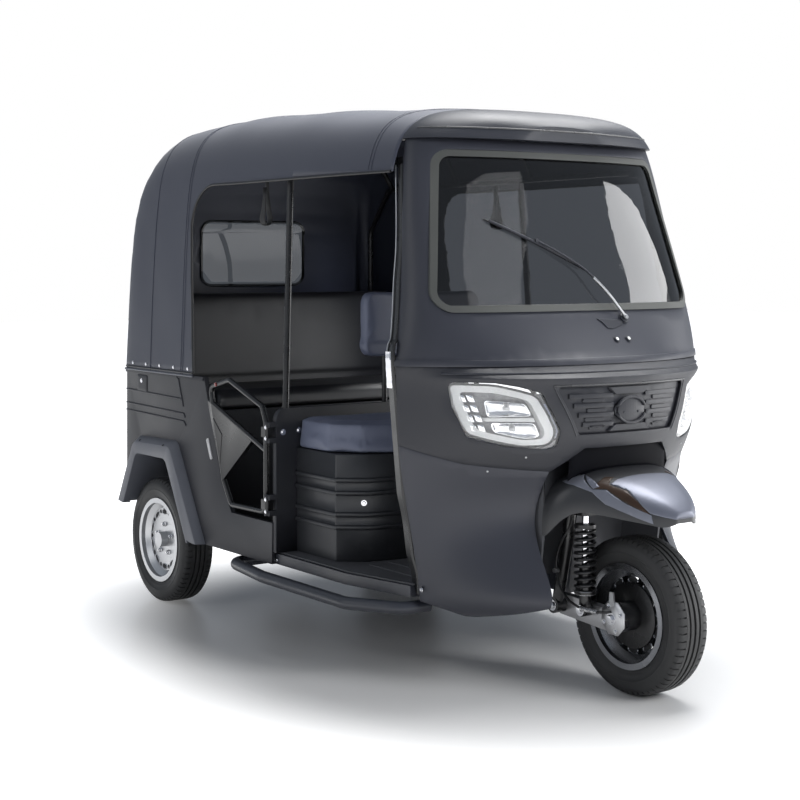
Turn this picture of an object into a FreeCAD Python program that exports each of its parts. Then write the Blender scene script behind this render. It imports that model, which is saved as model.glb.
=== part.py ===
import FreeCAD, Part
import math
import os

V = FreeCAD.Vector

# Auto rickshaw: three wheels, a driver's cab in front and a covered bench for passengers behind.
# Millimetres. +X is forward, +Y is the vehicle's left, +Z is up, and the ground is Z = 0.
# The origin lies on the ground under the middle of the bounding box.

# Whole vehicle
overall_length = 2680.0
wheelbase = 2110.0
rear_track = 1130.0
body_half = 630.0
belt_z = 925.0
wall = 18.0
thin_wall = 8.0
seat_gap = 0.3
hair = 0.001
clear_gap = 6.0
overrun = 40.0

# Tyres and rims
tyre_radius = 247.0
tyre_half = 67.5
tread_half = 50.0
tyre_waist_radius = 210.0
bead_radius = 152.4
bead_half = 50.0
flange_radius = 166.5
rim_half = 56.0
flange_width = 6.0
rim_wall = 5.0
well_radius = 128.0
well_half = 20.0
disc_wall = 6.0
disc_offset = 24.0
vent_radius = 8.5
vent_circle = 112.0
vent_count = 10
hub_radius = 30.0
hub_length = 60.0
spindle_radius = 14.0
spindle_reach = 20.0
bearing_gap = 0.5
drum_radius = 100.0
drum_reach = -18.0
drum_wall = 10.0
plate_low = -32.0
plate_high = -24.0
plate_lap = 4.0

# Nose levels from the skirt's foot to the windscreen's head. Each has its height, the places of
# the panel's rear edge and of the foremost point, and the half width
foot_z = 230.0
foot_back_x = 648.0
foot_front_x = 1030.0
foot_half = 526.0
shin_z = 450.0
shin_back_x = 657.0
shin_front_x = 1030.0
shin_half = 567.0
seam_z = 715.0
seam_back_x = 672.0
seam_front_x = 1020.0
seam_half = 628.0
chin_z = 800.0
chin_back_x = 675.0
chin_front_x = 1048.0
chin_half = 640.0
lamp_z = 900.0
lamp_back_x = 676.0
lamp_front_x = 1060.0
lamp_half = 646.0
brow_z = 1000.0
brow_back_x = 680.0
brow_front_x = 1053.0
brow_half = 652.0
ridge_z = 1035.0
ridge_back_x = 682.0
ridge_front_x = 962.0
ridge_half = 655.0
scuttle_z = 1110.0
scuttle_back_x = 664.0
scuttle_front_x = 905.0
scuttle_half = 634.0
sill_glass_z = 1190.0
sill_glass_back_x = 648.0
sill_glass_front_x = 856.0
sill_glass_half = 616.0
mid_glass_z = 1450.0
mid_glass_back_x = 604.0
mid_glass_front_x = 780.0
mid_glass_half = 577.0
head_z = 1765.0
head_back_x = 553.0
head_front_x = 694.0
head_half = 524.0
nose_wall = 16.0
ridge_height = 20.0
ridge_proud = 6.0
# Powers of each level's plan: how blunt its front is, and how square its corners are
low_plan_shares = (2.0, 1.1)
seam_plan_shares = (2.2, 1.1)
chin_plan_shares = (2.5, 1.1)
lamp_plan_shares = (2.6, 1.1)
brow_plan_shares = (2.9, 1.1)
ridge_plan_shares = (2.3, 0.8)
scuttle_plan_shares = (2.4, 0.55)
glass_plan_shares = (2.5, 0.42)
nose_steps = 9

# Seam between the fascia and the leg shield, falling forward, and the shield's hem
seam_rear_z = 785.0
seam_mid_x = 814.0
seam_mid_z = 729.0
seam_fore_x = 965.0
seam_fore_z = 703.0
hem_inner_half = 244.0
hem_inner_z = 298.0
hem_half = 430.0
hem_z = 232.0
hem_outer_half = 600.0
hem_outer_z = 305.0
hem_round = 60.0

# Windscreen, its seal and the wiper
glass_foot_z = 1203.0
glass_foot_half = 572.0
glass_head_z = 1728.0
glass_head_half = 484.0
glass_corner = 62.0
seal_width = 22.0
seal_proud = 5.0
glass_inset = 5.0
glass_wall = 5.0
wiper_y = 146.0
wiper_root_z = 1172.0
wiper_tip_y = -419.0
wiper_tip_z = 1522.0
wiper_elbow_share = 0.54
wiper_radius = 4.0
wiper_lift = 16.0
wiper_boss_radius = 13.0

# Fascia: lamps, grille and the opening over the mudguard
lamp_outer_half = 546.0
lamp_inner_half = 258.0
lamp_top_z = 990.0
lamp_bottom_z = 777.0
lamp_corner = 16.0
lamp_outline_shares = ((1.0, 1.0), (0.955, 0.63), (0.83, 0.18), (0.5, 0.05), (0.14, 0.0),
                       (0.01, 0.04), (0.0, 0.28), (0.2, 0.84), (0.4, 0.925), (0.62, 0.985))
lens_wall = 6.0
lens_inset = 3.0
bowl_depth = 50.0
grille_top_half = 274.0
grille_bottom_half = 198.0
grille_top_z = 972.0
grille_bottom_z = 822.0
grille_corner = 10.0
grille_inset = 12.0
grille_wall = 8.0
grille_rib_height = 14.0
grille_rib_lift = 7.0
grille_ribs = 4
badge_half_width = 56.0
badge_half_height = 41.0
badge_z = 893.0
badge_lift = 9.0
hood_top_half = 168.0
hood_low_half = 256.0
hood_top_z = 777.0

# Opening in the leg shield for the front wheel, the wheel house behind it and the mudguard
arch_foot_half = 293.0
arch_head_half = 250.0
liner_half = 258.0
liner_foot_x = 716.0
liner_head_x = 786.0
liner_head_z = 728.0
liner_front_x = 930.0
liner_front_foot_x = 905.0
liner_wall = 8.0
guard_half = 264.0
guard_reach = 364.0
guard_low_z = 500.0
guard_top_z = 711.0
guard_wall = 7.0
guard_flange_step = 2.0
guard_flange_wall = 5.0
# Mudguard stations: shares of its reach, half width and height, then of the height of its edge
guard_station_shares = ((0.0, 1.0, 0.97, 0.0), (0.09, 0.985, 0.985, 0.07), (0.215, 0.91, 1.0, 0.29),
                        (0.36, 0.785, 0.975, 0.39), (0.525, 0.655, 0.90, 0.365),
                        (0.70, 0.525, 0.78, 0.32), (0.88, 0.35, 0.62, 0.265),
                        (1.0, 0.14, 0.45, 0.295))
# Half cross-section of the mudguard: shares of its half width and of its height
guard_section_shares = ((1.0, 0.0), (0.985, 0.35), (0.9, 0.68), (0.66, 0.91), (0.33, 0.985), (0.0, 1.0))

# Steering axis, head, fork, leading arm, damper and handlebar
steer_trail = 60.0
steer_rake = 20.0
head_foot_z = 610.0
head_top_z = 800.0
head_radius = 26.0
stem_radius = 16.0
neck_half = 25.0
neck_foot_x = 785.0
neck_waist_x = 840.0
neck_waist_z = 598.0
neck_chin_x = 920.0
neck_chin_z = 622.0
neck_crown_x = 898.0
neck_crown_z = 700.0
neck_nape_x = 806.0
neck_heel_x = 732.0
neck_heel_drop = 2.0
crown_z = 560.0
crown_height = 24.0
crown_back_x = 890.0
crown_front_x = 1012.0
crown_outer_y = -160.0
crown_step_y = -96.0
crown_nose_x = 985.0
crown_heel_x = 900.0
crown_inner_y = 34.0
crown_corner = 14.0
crown_leg_x = 918.0
fork_radius = 19.0
fork_y = -132.0
fork_bend = 46.0
fork_knee_x = 905.0
fork_knee_z = 470.0
pivot_x = 852.0
pivot_z = 252.0
pivot_radius = 26.0
arm_y = -96.0
arm_half = 14.0
arm_root_height = 34.0
carrier_radius = 46.0
damper_x = 985.0
damper_y = -130.0
damper_foot_z = 258.0
damper_radius = 13.0
damper_eye_length = 40.8
damper_head_z = 535.7
damper_head_radius = 18.5
spring_radius = 27.0
coil_radius = 5.0
spring_turns = 8
spring_foot_z = 318.0
spring_head_z = 520.0
cup_height = 8.0
handle_z = 1085.0
handle_half = 290.0
handle_sweep = 170.0
handle_grip_x = 60.0
handle_grip_half = 200.0
handle_inner_half = 70.0
handle_rise = 40.0
handle_radius = 11.0
grip_radius = 16.0
grip_length = 115.0
handle_bend = 60.0
clamp_radius = 30.0
clamp_height = 46.0

# Brake cable: its route, chosen by hand, from the crown to the leading arm
cable_radius = 4.0
cable_bend_share = 0.45
cable_points = ((946.0, -150.0, 559.7), (946.0, -151.0, 530.0), (934.0, -162.0, 500.0),
                (908.0, -166.0, 462.0), (890.0, -168.0, 418.0), (888.0, -168.0, 368.0),
                (906.0, -168.0, 322.0), (942.0, -166.0, 286.0), (996.0, -164.0, 270.0),
                (1050.0, -156.0, 266.0), (1084.0, -138.0, 267.0), (1093.0, -111.4, 268.0))

# Frame, floor and sills
floor_z = 330.0
floor_wall = 6.0
floor_half = 600.0
floor_front_half = 545.0
taper_x = 330.0
tongue_half = 500.0
sill_low_z = 287.0
sill_front_half = 556.0
sill_width = 46.0
rail_half = 260.0
rail_width = 50.0
rail_height = 60.0
rail_front_x = 700.0
kick_fore_x = -560.0
kick_rear_x = -700.0
kick_shift = 20.0
kick_low_z = 400.0
kick_high_z = 460.0
cross_width = 40.0
cross_front_x = 650.0
cross_mid_x = 190.0
cross_rear_x = -780.0
cross_tail_x = -1272.0
outrigger_front_x = 600.0
outrigger_door_x = -180.0
outrigger_rear_x = -430.0
outrigger_low_z = 270.0
tow_x = -1295.0
tow_z = 318.0
tow_bore = 11.0
tow_half = 6.0
tow_radius = 26.0

# Step bars under the sills
step_rear_x = -395.0
step_rear_out = 636.0
step_mid_x = -90.0
step_out = 682.0
step_fore_x = 440.0
step_front_x = 620.0
step_front_out = 580.0
step_inner_half = 480.0
step_radius = 21.0
step_sink = 4.0
step_bend = 70.0

# Rear axle, leaf springs and drive shaft
axle_radius = 26.0
diff_radius = 92.0
diff_half = 80.0
leaf_half_length = 280.0
leaf_width = 50.0
leaf_wall = 8.0
leaf_count = 4
leaf_step = 62.0
leaf_rise = 60.0
shaft_radius = 24.0
shaft_front_x = -62.0
shaft_front_z = 288.0

# Partition, engine cover, engine and the driver's seat
partition_x = -92.0
partition_wall = 24.0
partition_half = 626.0
partition_top_z = 842.0
partition_corner = 40.0
cover_half = 542.0
cover_side_x = 165.0
cover_corner_x = 236.0
cover_corner_half = 452.0
cover_front_x = 262.0
cover_front_half = 300.0
cover_top_z = 700.0
cover_rib_proud = 8.0
cover_rib_height = 14.0
cover_rib_shares = (0.30, 0.42, 0.62, 0.74)
engine_back_x = -60.0
engine_length = 230.0
engine_half = 170.0
engine_low_z = 200.0
engine_high_z = 600.0
engine_lug_x = 30.0
engine_lug_length = 60.0
saddle_half = 545.0
saddle_front_x = 300.0
saddle_high_z = 806.0
saddle_round = 60.0
saddle_heel_round = 30.0
saddle_outline_shares = ((0.0, 1.0), (0.51, 1.0), (0.78, 0.864), (1.0, 0.54))
rest_half = 275.0
rest_low_z = 1012.0
rest_high_z = 1262.0
rest_back_x = -104.0
rest_wall = 56.0
rest_corner = 46.0
rest_stay_half = 150.0
rest_stay_radius = 10.0

# Passenger bench
bench_front_x = -580.0
bench_base_z = 796.0
bench_half = 596.0
bench_wall = 16.0
bench_back_half = 560.0
cushion_high_z = 866.0
cushion_corner = 34.0
back_foot_x = -1000.0
back_head_x = -1060.0
back_head_z = 1246.0
back_wall = 80.0
tub_half = 470.0
shelf_z = 905.0
shelf_front_x = -1150.0

# Half doors: places of the tube's corners, from the rear round by the front
door_rear_x = -556.0
door_rear_z = 892.0
door_crown_x = -412.0
door_crown_z = 926.0
door_shoulder_x = -172.0
door_shoulder_z = 846.0
door_front_x = -145.0
door_front_high_z = 790.0
door_front_low_z = 470.0
door_heel_x = -396.0
door_heel_z = 466.0
door_waist_x = -452.0
door_waist_z = 548.0
door_tube_radius = 10.0
door_bend = 26.0
door_out = 6.0
door_panel_half = 9.0
door_panel_rear_x = -566.0
door_panel_rear_z = 838.0
door_panel_front_x = -236.0
door_panel_front_z = 716.0
door_brace_front_z = 690.0
hinge_x = -113.0
hinge_y = 652.0
hinge_pin_radius = 5.0
hinge_axial_gap = 1.0
knuckle_radius = 10.0
knuckle_height = 36.0
hinge_high_z = 758.0
hinge_low_z = 500.0
hinge_leaf = 5.0

# Rear body, doorway jambs, wheel arches, flares and tail
tail_foot_z = 376.0
tail_corner = 60.0
jamb_foot_z = 434.0
jamb_heel_x = -409.0
jamb_waist_x = -484.0
jamb_waist_z = 540.0
jamb_high_x = -622.0
arch_rear_x = -1262.0
arch_rear_top_x = -1146.0
arch_front_top_x = -878.0
arch_front_x = -696.0
arch_top_z = 596.0
arch_front_foot_z = 283.0
arch_corner = 40.0
arch_drop = 60.0
flare_rear_x = -1322.0
flare_rear_top_x = -1176.0
flare_rear_top_z = 655.0
flare_front_top_x = -836.0
flare_front_top_z = 662.0
flare_front_x = -606.0
flare_proud = 35.0
flare_round = 22.0
flare_corner = 46.0
flare_face_shares = ((0.8, 0.0), (0.5, -1.0), (-0.5, -1.0), (-0.9, 0.0))
belt_lip = 16.0
belt_proud = 6.0
hatch_half = 330.0
hatch_low_z = 470.0
hatch_high_z = 850.0
hatch_corner = 30.0
hatch_wall = 14.0
hatch_pin_radius = 6.0
hatch_pin_inset = 9.0
hatch_pin_z = 863.0
hatch_notch = 18.0
hatch_knuckle_length = 60.0
hatch_knuckle_y = 220.0
plate_z = 424.0
plate_hole_half = 105.0
plate_hole_radius = 3.5
lamp_round = 10.0
tail_lamp_height = 150.0
tail_lamp_width = 74.0
tail_lamp_depth = 22.0
tail_lamp_half = 520.0
tail_lamp_z = 700.0

# Canopy, roof cap, frame bows, grab poles and rear window
canopy_wall = 12.0
canopy_half = 638.0
canopy_front_x = 552.0
crown_roof_z = 1945.0
opening_rear_x = -690.0
opening_head_x = -762.0
opening_head_z = 1658.0
opening_front_x = 700.0
opening_corner = 150.0
window_half = 262.0
window_low_z = 1262.0
window_high_z = 1545.0
window_corner = 48.0
window_wall = 3.0
window_reach = 160.0
visor_reach = 184.0
cap_wall = 14.0
cap_rim = 36.0
# Half cross-section of the roof: shares of its half width and of its height above the belt
roof_section_shares = ((1.0, 0.0), (0.985, 0.3165), (0.962, 0.5626), (0.94, 0.7078), (0.9216, 0.7794),
                       (0.8966, 0.8343), (0.8558, 0.8873), (0.7915, 0.9314), (0.69, 0.9657),
                       (0.533, 0.9873), (0.282, 0.998), (0.0, 1.0))
# Canopy stations from the tail to the front: shares of its length, half width and height
canopy_station_shares = (
    (0.0, 0.878, 0.564),
    (0.0042, 0.94, 0.672),
    (0.0127, 0.975, 0.76),
    (0.0264, 0.991, 0.826),
    (0.045, 0.998, 0.879),
    (0.0687, 1.0, 0.919),
    (0.1, 1.0, 0.953),
    (0.137, 1.0, 0.9735),
    (0.19, 1.0, 0.987),
    (0.248, 1.0, 0.995),
    (0.308, 1.0, 0.998),
    (0.391, 1.0, 1.0),
    (0.47, 1.0, 0.998),
    (0.55, 1.0, 0.993),
    (0.629, 1.0, 0.986),
    (0.708, 1.0, 0.978),
    (0.787, 0.997, 0.9685),
    (0.867, 0.991, 0.958),
    (0.9355, 0.983, 0.9475),
    (1.0, 0.972, 0.9363),
)
# Cap stations from the canopy to the visor's lip: shares of its reach, half width and height
cap_station_shares = ((0.0, 0.972, 0.9363), (0.26, 0.953, 0.9323), (0.532, 0.887, 0.9206),
                      (0.777, 0.737, 0.903), (0.924, 0.533, 0.885), (1.0, 0.329, 0.8695))
bow_radius = 11.0
bow_half = 560.0
bow_front_taper = 40.0
bow_side_z = 1690.0
bow_shoulder_half = 452.0
bow_drop = 70.0
bow_bend = 60.0
bow_front_x = 520.0
bow_rear_x = -1238.0
bow_rear_top_x = -1090.0
bow_waist_z = 1500.0
bow_plate_x = 560.0
bow_plate_half = 536.0
first_bow_x = 430.0
last_bow_x = -1060.0
bow_count = 4
pole_radius = 12.0
pole_foot_half = 580.0
pole_top_x = -140.0

# Dashboard
dash_low_z = 992.0
dash_high_z = 1050.0
dash_back_x = 770.0
dash_half = 470.0
dash_notch_x = 850.0
dash_notch_half = 62.0
dash_gap = 2.2

# Places that follow from the sizes above
half_length = overall_length / 2
tail_x = -half_length
front_axle_x = half_length - tyre_radius
rear_axle_x = front_axle_x - wheelbase
rear_wheel_y = rear_track / 2
steer_foot_x = front_axle_x + steer_trail
rake = math.radians(steer_rake)
steer_axis = V(-math.sin(rake), 0, math.cos(rake))
rail_low_z = floor_z - floor_wall - rail_height
rail_high_z = floor_z - floor_wall - seat_gap
rail_inner = rail_half - rail_width / 2
rail_outer = rail_half + rail_width / 2
rail_tail_x = tail_x + wall + seat_gap
floor_front_x = shin_back_x - 2 * nose_wall
sill_outer = body_half - wall - seat_gap
neck_back_x = cross_front_x + cross_width
guard_root_x = liner_front_x + seat_gap
step_z = outrigger_low_z + step_sink - step_radius
canopy_base_z = belt_z + seat_gap
cap_low_z = head_z + seat_gap
hatch_pin_x = tail_x + hatch_pin_inset

PARTS = "parts"
os.makedirs(PARTS, exist_ok=True)


def steer_point(height):
    """The point of the steering axis at a height."""
    return V(steer_foot_x - height * math.tan(rake), 0, height)


def export(name, *shapes):
    """Writes one node's solids to its file and reports them."""
    solids = [solid for shape in shapes for solid in shape.Solids]
    for solid in solids:
        if not solid.isValid() or solid.Volume <= 0:
            print("CHECK", name, "valid", solid.isValid(), "volume", solid.Volume)
    shape = solids[0] if len(solids) == 1 else Part.makeCompound(solids)
    shape.exportStep(os.path.join(PARTS, name + ".step"))
    print(name, len(solids), "solids", round(sum(s.Volume for s in solids)), "cubic mm")


def mirrored(shape):
    """The same shape on the other side of the vehicle."""
    return shape.mirror(V(0, 0, 0), V(0, 1, 0))


def both(shape):
    """A shape and its mirror image."""
    return [shape, mirrored(shape)]


def fuse(shapes):
    """One shape from several that touch or overlap."""
    shapes = list(shapes)
    if len(shapes) == 1:
        return shapes[0]
    return shapes[0].multiFuse(shapes[1:]).removeSplitter()


def block(x0, x1, y0, y1, z0, z1):
    """A box between two corners."""
    return Part.makeBox(x1 - x0, y1 - y0, z1 - z0, V(x0, y0, z0))


def rod(start, end, radius):
    """A straight round bar."""
    return Part.makeCylinder(radius, (end - start).Length, start, end - start)


def in_side_view(x, z):
    return V(x, 0, z)


def in_front_view(y, z):
    return V(0, y, z)


def in_plan(x, y):
    return V(x, y, 0)


def rounded(points, radius, lift):
    """A closed outline with rounded corners. A radius is one value, or one for each corner."""
    places = [lift(*p) for p in points]
    count = len(places)
    radii = radius if isinstance(radius, (list, tuple)) else [radius] * count
    cuts = []
    for i, corner in enumerate(places):
        before = (places[i - 1] - corner).normalize()
        after = (places[(i + 1) % count] - corner).normalize()
        half = before.getAngle(after) / 2
        if radii[i] <= 0:
            cuts.append((corner, corner, corner))
            continue
        run = radii[i] / math.tan(half)
        middle = (before + after).normalize() * (radii[i] / math.sin(half) - radii[i])
        cuts.append((corner + before * run, corner + middle, corner + after * run))
    edges = []
    for i, (start, middle, end) in enumerate(cuts):
        if radii[i] > 0:
            edges.append(Part.Arc(start, middle, end).toShape())
        following = cuts[(i + 1) % count][0]
        if (following - end).Length > hair:
            edges.append(Part.LineSegment(end, following).toShape())
    return Part.Wire(edges)


def slab(points, radius, lift, start, depth):
    """A rounded outline, moved by start and extruded by depth."""
    face = Part.Face(rounded(points, radius, lift))
    face.translate(start)
    return face.extrude(depth)


def through_y(points, radius, y0, y1):
    """A side-view outline as a slab between two widths."""
    return slab(points, radius, in_side_view, V(0, y0, 0), V(0, y1 - y0, 0))


def through_x(points, radius, x0, x1):
    """A front-view outline as a slab between two stations."""
    return slab(points, radius, in_front_view, V(x0, 0, 0), V(x1 - x0, 0, 0))


def through_z(points, radius, z0, z1):
    """A plan outline as a slab between two heights."""
    return slab(points, radius, in_plan, V(0, 0, z0), V(0, 0, z1 - z0))


def corners(x0, x1, y0, y1):
    """The four corners of a rectangle, in order."""
    return [(x0, y0), (x1, y0), (x1, y1), (x0, y1)]


def symmetric(right):
    """Front-view points given for the left half, with their mirror images, as one loop."""
    return list(right) + [(-y, z) for y, z in reversed(right)]


def mirrored_plan(half):
    """Plan points given for the left half, with their mirror images, as one loop."""
    return list(half) + [(x, -y) for x, y in reversed(half)]


def disc_at(centre, direction, radius):
    return Part.Face(Part.Wire(Part.makeCircle(radius, centre, direction)))


def pipe(points, bend, radius, closed=False):
    """A round bar along straight runs joined by bends. A bend is one value, or one for each point."""
    count = len(points)
    bends = bend if isinstance(bend, (list, tuple)) else [bend] * count
    turns = []
    for i, corner in enumerate(points):
        if not closed and i in (0, count - 1):
            turns.append((corner, corner, None))
            continue
        before = (points[i - 1] - corner).normalize()
        after = (points[(i + 1) % count] - corner).normalize()
        opening = before.getAngle(after)
        run = bends[i] / math.tan(opening / 2)
        centre = corner + (before + after).normalize() * (bends[i] / math.sin(opening / 2))
        turn = (centre, before.cross(after).normalize(), math.degrees(math.pi - opening), -before)
        turns.append((corner + before * run, corner + after * run, turn))
    pieces = []
    for i, (start, end, turn) in enumerate(turns):
        if turn:
            centre, axis, angle, heading = turn
            pieces.append(disc_at(start, heading, radius).revolve(centre, -axis, angle))
        if i + 1 < count or closed:
            following = turns[(i + 1) % count][0]
            if (following - end).Length > seat_gap:
                pieces.append(disc_at(end, following - end, radius).extrude(following - end))
    return fuse(pieces)


def lathe(profile, centre, turned=False):
    """A ring about the wheel axis from (radius, offset) points. turned swaps its two faces."""
    sign = -1 if turned else 1
    places = [V(centre.x + r, centre.y + sign * a, centre.z) for r, a in profile]
    edges = [
        Part.LineSegment(p, places[(i + 1) % len(places)]).toShape() for i, p in enumerate(places)
    ]
    return Part.Face(Part.Wire(edges)).revolve(centre, V(0, 1, 0), 360)


def nose_curve(level, inset):
    """The nose's outline at a level, inset from the outside, from its right edge to its left."""
    z, back, front, half, blunt, square = level
    length = front - inset - back
    right = []
    for i in range(nose_steps):
        v = math.cos(math.pi * i / nose_steps / 2)
        u = (1 - v**blunt) ** square if i else 0
        right.append(V(back + length * u, -(half - inset) * v, z))
    left = [V(p.x, -p.y, z) for p in reversed(right)]
    curve = Part.BSplineCurve()
    curve.interpolate(Points=right + [V(back + length, 0, z)] + left)
    return curve


def closed_band(outer, inner):
    """The wire round a band between two open curves."""
    return Part.Wire([
        outer.toShape(),
        Part.LineSegment(outer.EndPoint, inner.EndPoint).toShape(),
        inner.toShape(),
        Part.LineSegment(inner.StartPoint, outer.StartPoint).toShape(),
    ])


def nose_ring(levels, outside, inside):
    """A curved wall between two insets, through the given levels."""
    wires = [closed_band(nose_curve(level, outside), nose_curve(level, inside)) for level in levels]
    return Part.makeLoft(wires, True, False)


def level_between(low, high, z):
    """A level at a height between two others."""
    share = (z - low[0]) / (high[0] - low[0])
    return tuple(a + (b - a) * share for a, b in zip(low, high))


foot = (foot_z, foot_back_x, foot_front_x, foot_half) + low_plan_shares
shin = (shin_z, shin_back_x, shin_front_x, shin_half) + low_plan_shares
seam = (seam_z, seam_back_x, seam_front_x, seam_half) + seam_plan_shares
chin = (chin_z, chin_back_x, chin_front_x, chin_half) + chin_plan_shares
lamp = (lamp_z, lamp_back_x, lamp_front_x, lamp_half) + lamp_plan_shares
brow = (brow_z, brow_back_x, brow_front_x, brow_half) + brow_plan_shares
ridge = (ridge_z, ridge_back_x, ridge_front_x, ridge_half) + ridge_plan_shares
scuttle = (scuttle_z, scuttle_back_x, scuttle_front_x, scuttle_half) + scuttle_plan_shares
sill_glass = (sill_glass_z, sill_glass_back_x, sill_glass_front_x, sill_glass_half) + glass_plan_shares
mid_glass = (mid_glass_z, mid_glass_back_x, mid_glass_front_x, mid_glass_half) + glass_plan_shares
head = (head_z, head_back_x, head_front_x, head_half) + glass_plan_shares
COWL = [ridge, scuttle, sill_glass, mid_glass, head]
LOWER_NOSE = [foot, shin, seam, chin, lamp, brow]


def nose_fill(levels, inset):
    """The whole space inside the nose, inset from its outside."""
    wires = []
    for level in levels:
        curve = nose_curve(level, inset)
        back = Part.LineSegment(curve.EndPoint, curve.StartPoint).toShape()
        wires.append(Part.Wire([curve.toShape(), back]))
    return Part.makeLoft(wires, True, False)


def glass_opening(inset):
    """The windscreen's outline, inset from the edge of its hole."""
    points = symmetric(
        [(glass_foot_half - inset, glass_foot_z + inset), (glass_head_half - inset, glass_head_z - inset)]
    )
    return through_x(points, glass_corner - inset, half_length / 3, half_length)


def nose_cowl():
    """Upper nose with its two windscreen pillars and the ridge round its foot."""
    shell = nose_ring(COWL, 0, nose_wall)
    shell = shell.cut(glass_opening(0))
    top = level_between(ridge, scuttle, ridge_z + ridge_height)
    bead = nose_ring([ridge, top], -ridge_proud, nose_wall / 2)
    return fuse([shell, bead])


def windscreen_seal():
    """The rubber section round the windscreen."""
    band = glass_opening(seat_gap).cut(glass_opening(seal_width))
    return nose_ring(COWL[1:], -seal_proud, nose_wall - seal_proud).common(band)


def windscreen():
    """The curved pane inside the seal."""
    pane = nose_ring(COWL[1:], glass_inset, glass_inset + glass_wall)
    return pane.common(glass_opening(seal_width + seat_gap))


def nose_x(levels, y, z, inset=0):
    """How far forward the nose's surface lies at a width and a height."""
    for low, high in zip(levels, levels[1:]):
        if low[0] <= z <= high[0]:
            curve = nose_curve(level_between(low, high, z), inset)
            line = Part.LineSegment(V(0, y, z), V(half_length, y, z))
            return max(p.X for p in curve.intersect(line))
    raise ValueError("the nose has no level at %s" % z)


def below_seam():
    """The space under the seam between the fascia and the leg shield."""
    points = [(0, 0), (half_length, 0), (half_length, seam_fore_z), (seam_fore_x, seam_fore_z),
              (seam_mid_x, seam_mid_z), (seam_back_x, seam_rear_z), (0, seam_rear_z)]
    return through_y(points, 0, -half_length, half_length)


def lamp_cutter(inset):
    """The left headlamp's outline in front view, as a prism."""
    width = lamp_outer_half - lamp_inner_half
    height = lamp_top_z - lamp_bottom_z
    points = [(lamp_inner_half + width * u, lamp_bottom_z + height * v) for u, v in lamp_outline_shares]
    face = Part.Face(rounded(points, lamp_corner, in_front_view))
    if inset:
        face = Part.Face(face.OuterWire.makeOffset2D(-inset))
    face.translate(V(half_length / 3, 0, 0))
    return face.extrude(V(half_length, 0, 0))


def grille_outline(inset):
    points = symmetric(
        [(grille_bottom_half - inset, grille_bottom_z + inset), (grille_top_half - inset, grille_top_z - inset)]
    )
    return through_x(points, grille_corner, half_length / 3, half_length)


def hood_opening():
    """The opening in the fascia's foot that the mudguard passes through."""
    points = symmetric([(hood_low_half, seam_fore_z - overrun), (hood_low_half, seam_fore_z),
                        (hood_top_half, hood_top_z)])
    return through_x(points, [0, 0, lamp_corner, lamp_corner, 0, 0], half_length / 3, half_length)


def front_fascia():
    """Lower nose panel with holes for two lamps and the grille."""
    shell = nose_ring(LOWER_NOSE, 0, nose_wall).cut(below_seam())
    collar = nose_ring([brow, ridge], 0, nose_wall)
    shell = fuse([shell, collar])
    for cutter in both(lamp_cutter(0)):
        shell = shell.cut(cutter)
    shell = shell.cut(grille_outline(0))
    return shell.cut(hood_opening())


def grille_panel():
    """Pressed grille plate with ribs and a bare oval boss."""
    zone = grille_outline(seat_gap)
    plate = nose_ring(LOWER_NOSE, grille_inset, grille_inset + grille_wall).common(zone)
    proud = nose_ring(LOWER_NOSE, grille_inset - grille_rib_lift, grille_inset + grille_wall / 2)
    height = grille_top_z - grille_bottom_z
    ribs = []
    for i in range(grille_ribs):
        share = (i + 1) / (grille_ribs + 1)
        z = grille_bottom_z + height * share
        half = grille_bottom_half + (grille_top_half - grille_bottom_half) * share - 2 * grille_rib_height
        bar = block(0, half_length, badge_half_width + grille_rib_height, half,
                    z - grille_rib_height / 2, z + grille_rib_height / 2)
        ribs += [proud.common(side) for side in both(bar)]
    centre = V(nose_x(LOWER_NOSE, 0, badge_z, grille_inset + grille_wall / 2), 0, badge_z)
    oval = Part.Ellipse(centre + V(0, badge_half_width, 0), centre + V(0, 0, badge_half_height), centre)
    boss = Part.Face(Part.Wire(oval.toShape())).extrude(V(badge_lift + grille_rib_lift, 0, 0))
    return fuse([plate, boss] + ribs)


def headlamp_lenses():
    lens = nose_ring(LOWER_NOSE, lens_inset, lens_inset + lens_wall).common(lamp_cutter(seat_gap))
    return both(lens)


def headlamp_bowls():
    top = lens_inset + lens_wall + seat_gap
    bowl = nose_ring(LOWER_NOSE, top, top + bowl_depth).common(lamp_cutter(seat_gap))
    return both(bowl)


def leg_shield():
    """Side skirts of the nose, cut away round the front wheel, with a hem that dips at mid width."""
    shell = nose_ring(LOWER_NOSE, 0, nose_wall).common(below_seam())
    arch = symmetric([(arch_foot_half, foot_z - overrun), (arch_head_half, seam_rear_z + overrun)])
    shell = shell.cut(through_x(arch, 0, half_length / 3, half_length))
    hem = [(hem_inner_half, 0), (hem_outer_half, 0), (hem_outer_half, hem_outer_z), (hem_half, hem_z),
           (hem_inner_half, hem_inner_z)]
    for cutter in both(through_x(hem, [0, 0, 0, hem_round, 0], half_length / 3, half_length)):
        shell = shell.cut(cutter)
    return shell


def guard_station(shares):
    """Place, half width, crown height and edge height of a mudguard station."""
    along, width, crown, edge = shares
    rise = guard_top_z - guard_low_z
    return (guard_root_x + guard_reach * along, guard_half * width, guard_low_z + rise * crown,
            guard_low_z + rise * edge)


def guard_curve(station, inset):
    """The mudguard's cross-section at a station, inset from its outside."""
    x, half, top, low = station
    right = [V(x, -(half - inset) * u, low + (top - inset - low) * v) for u, v in guard_section_shares]
    left = [V(x, -p.y, p.z) for p in reversed(right[:-1])]
    curve = Part.BSplineCurve()
    curve.interpolate(Points=right + left)
    return curve


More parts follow.
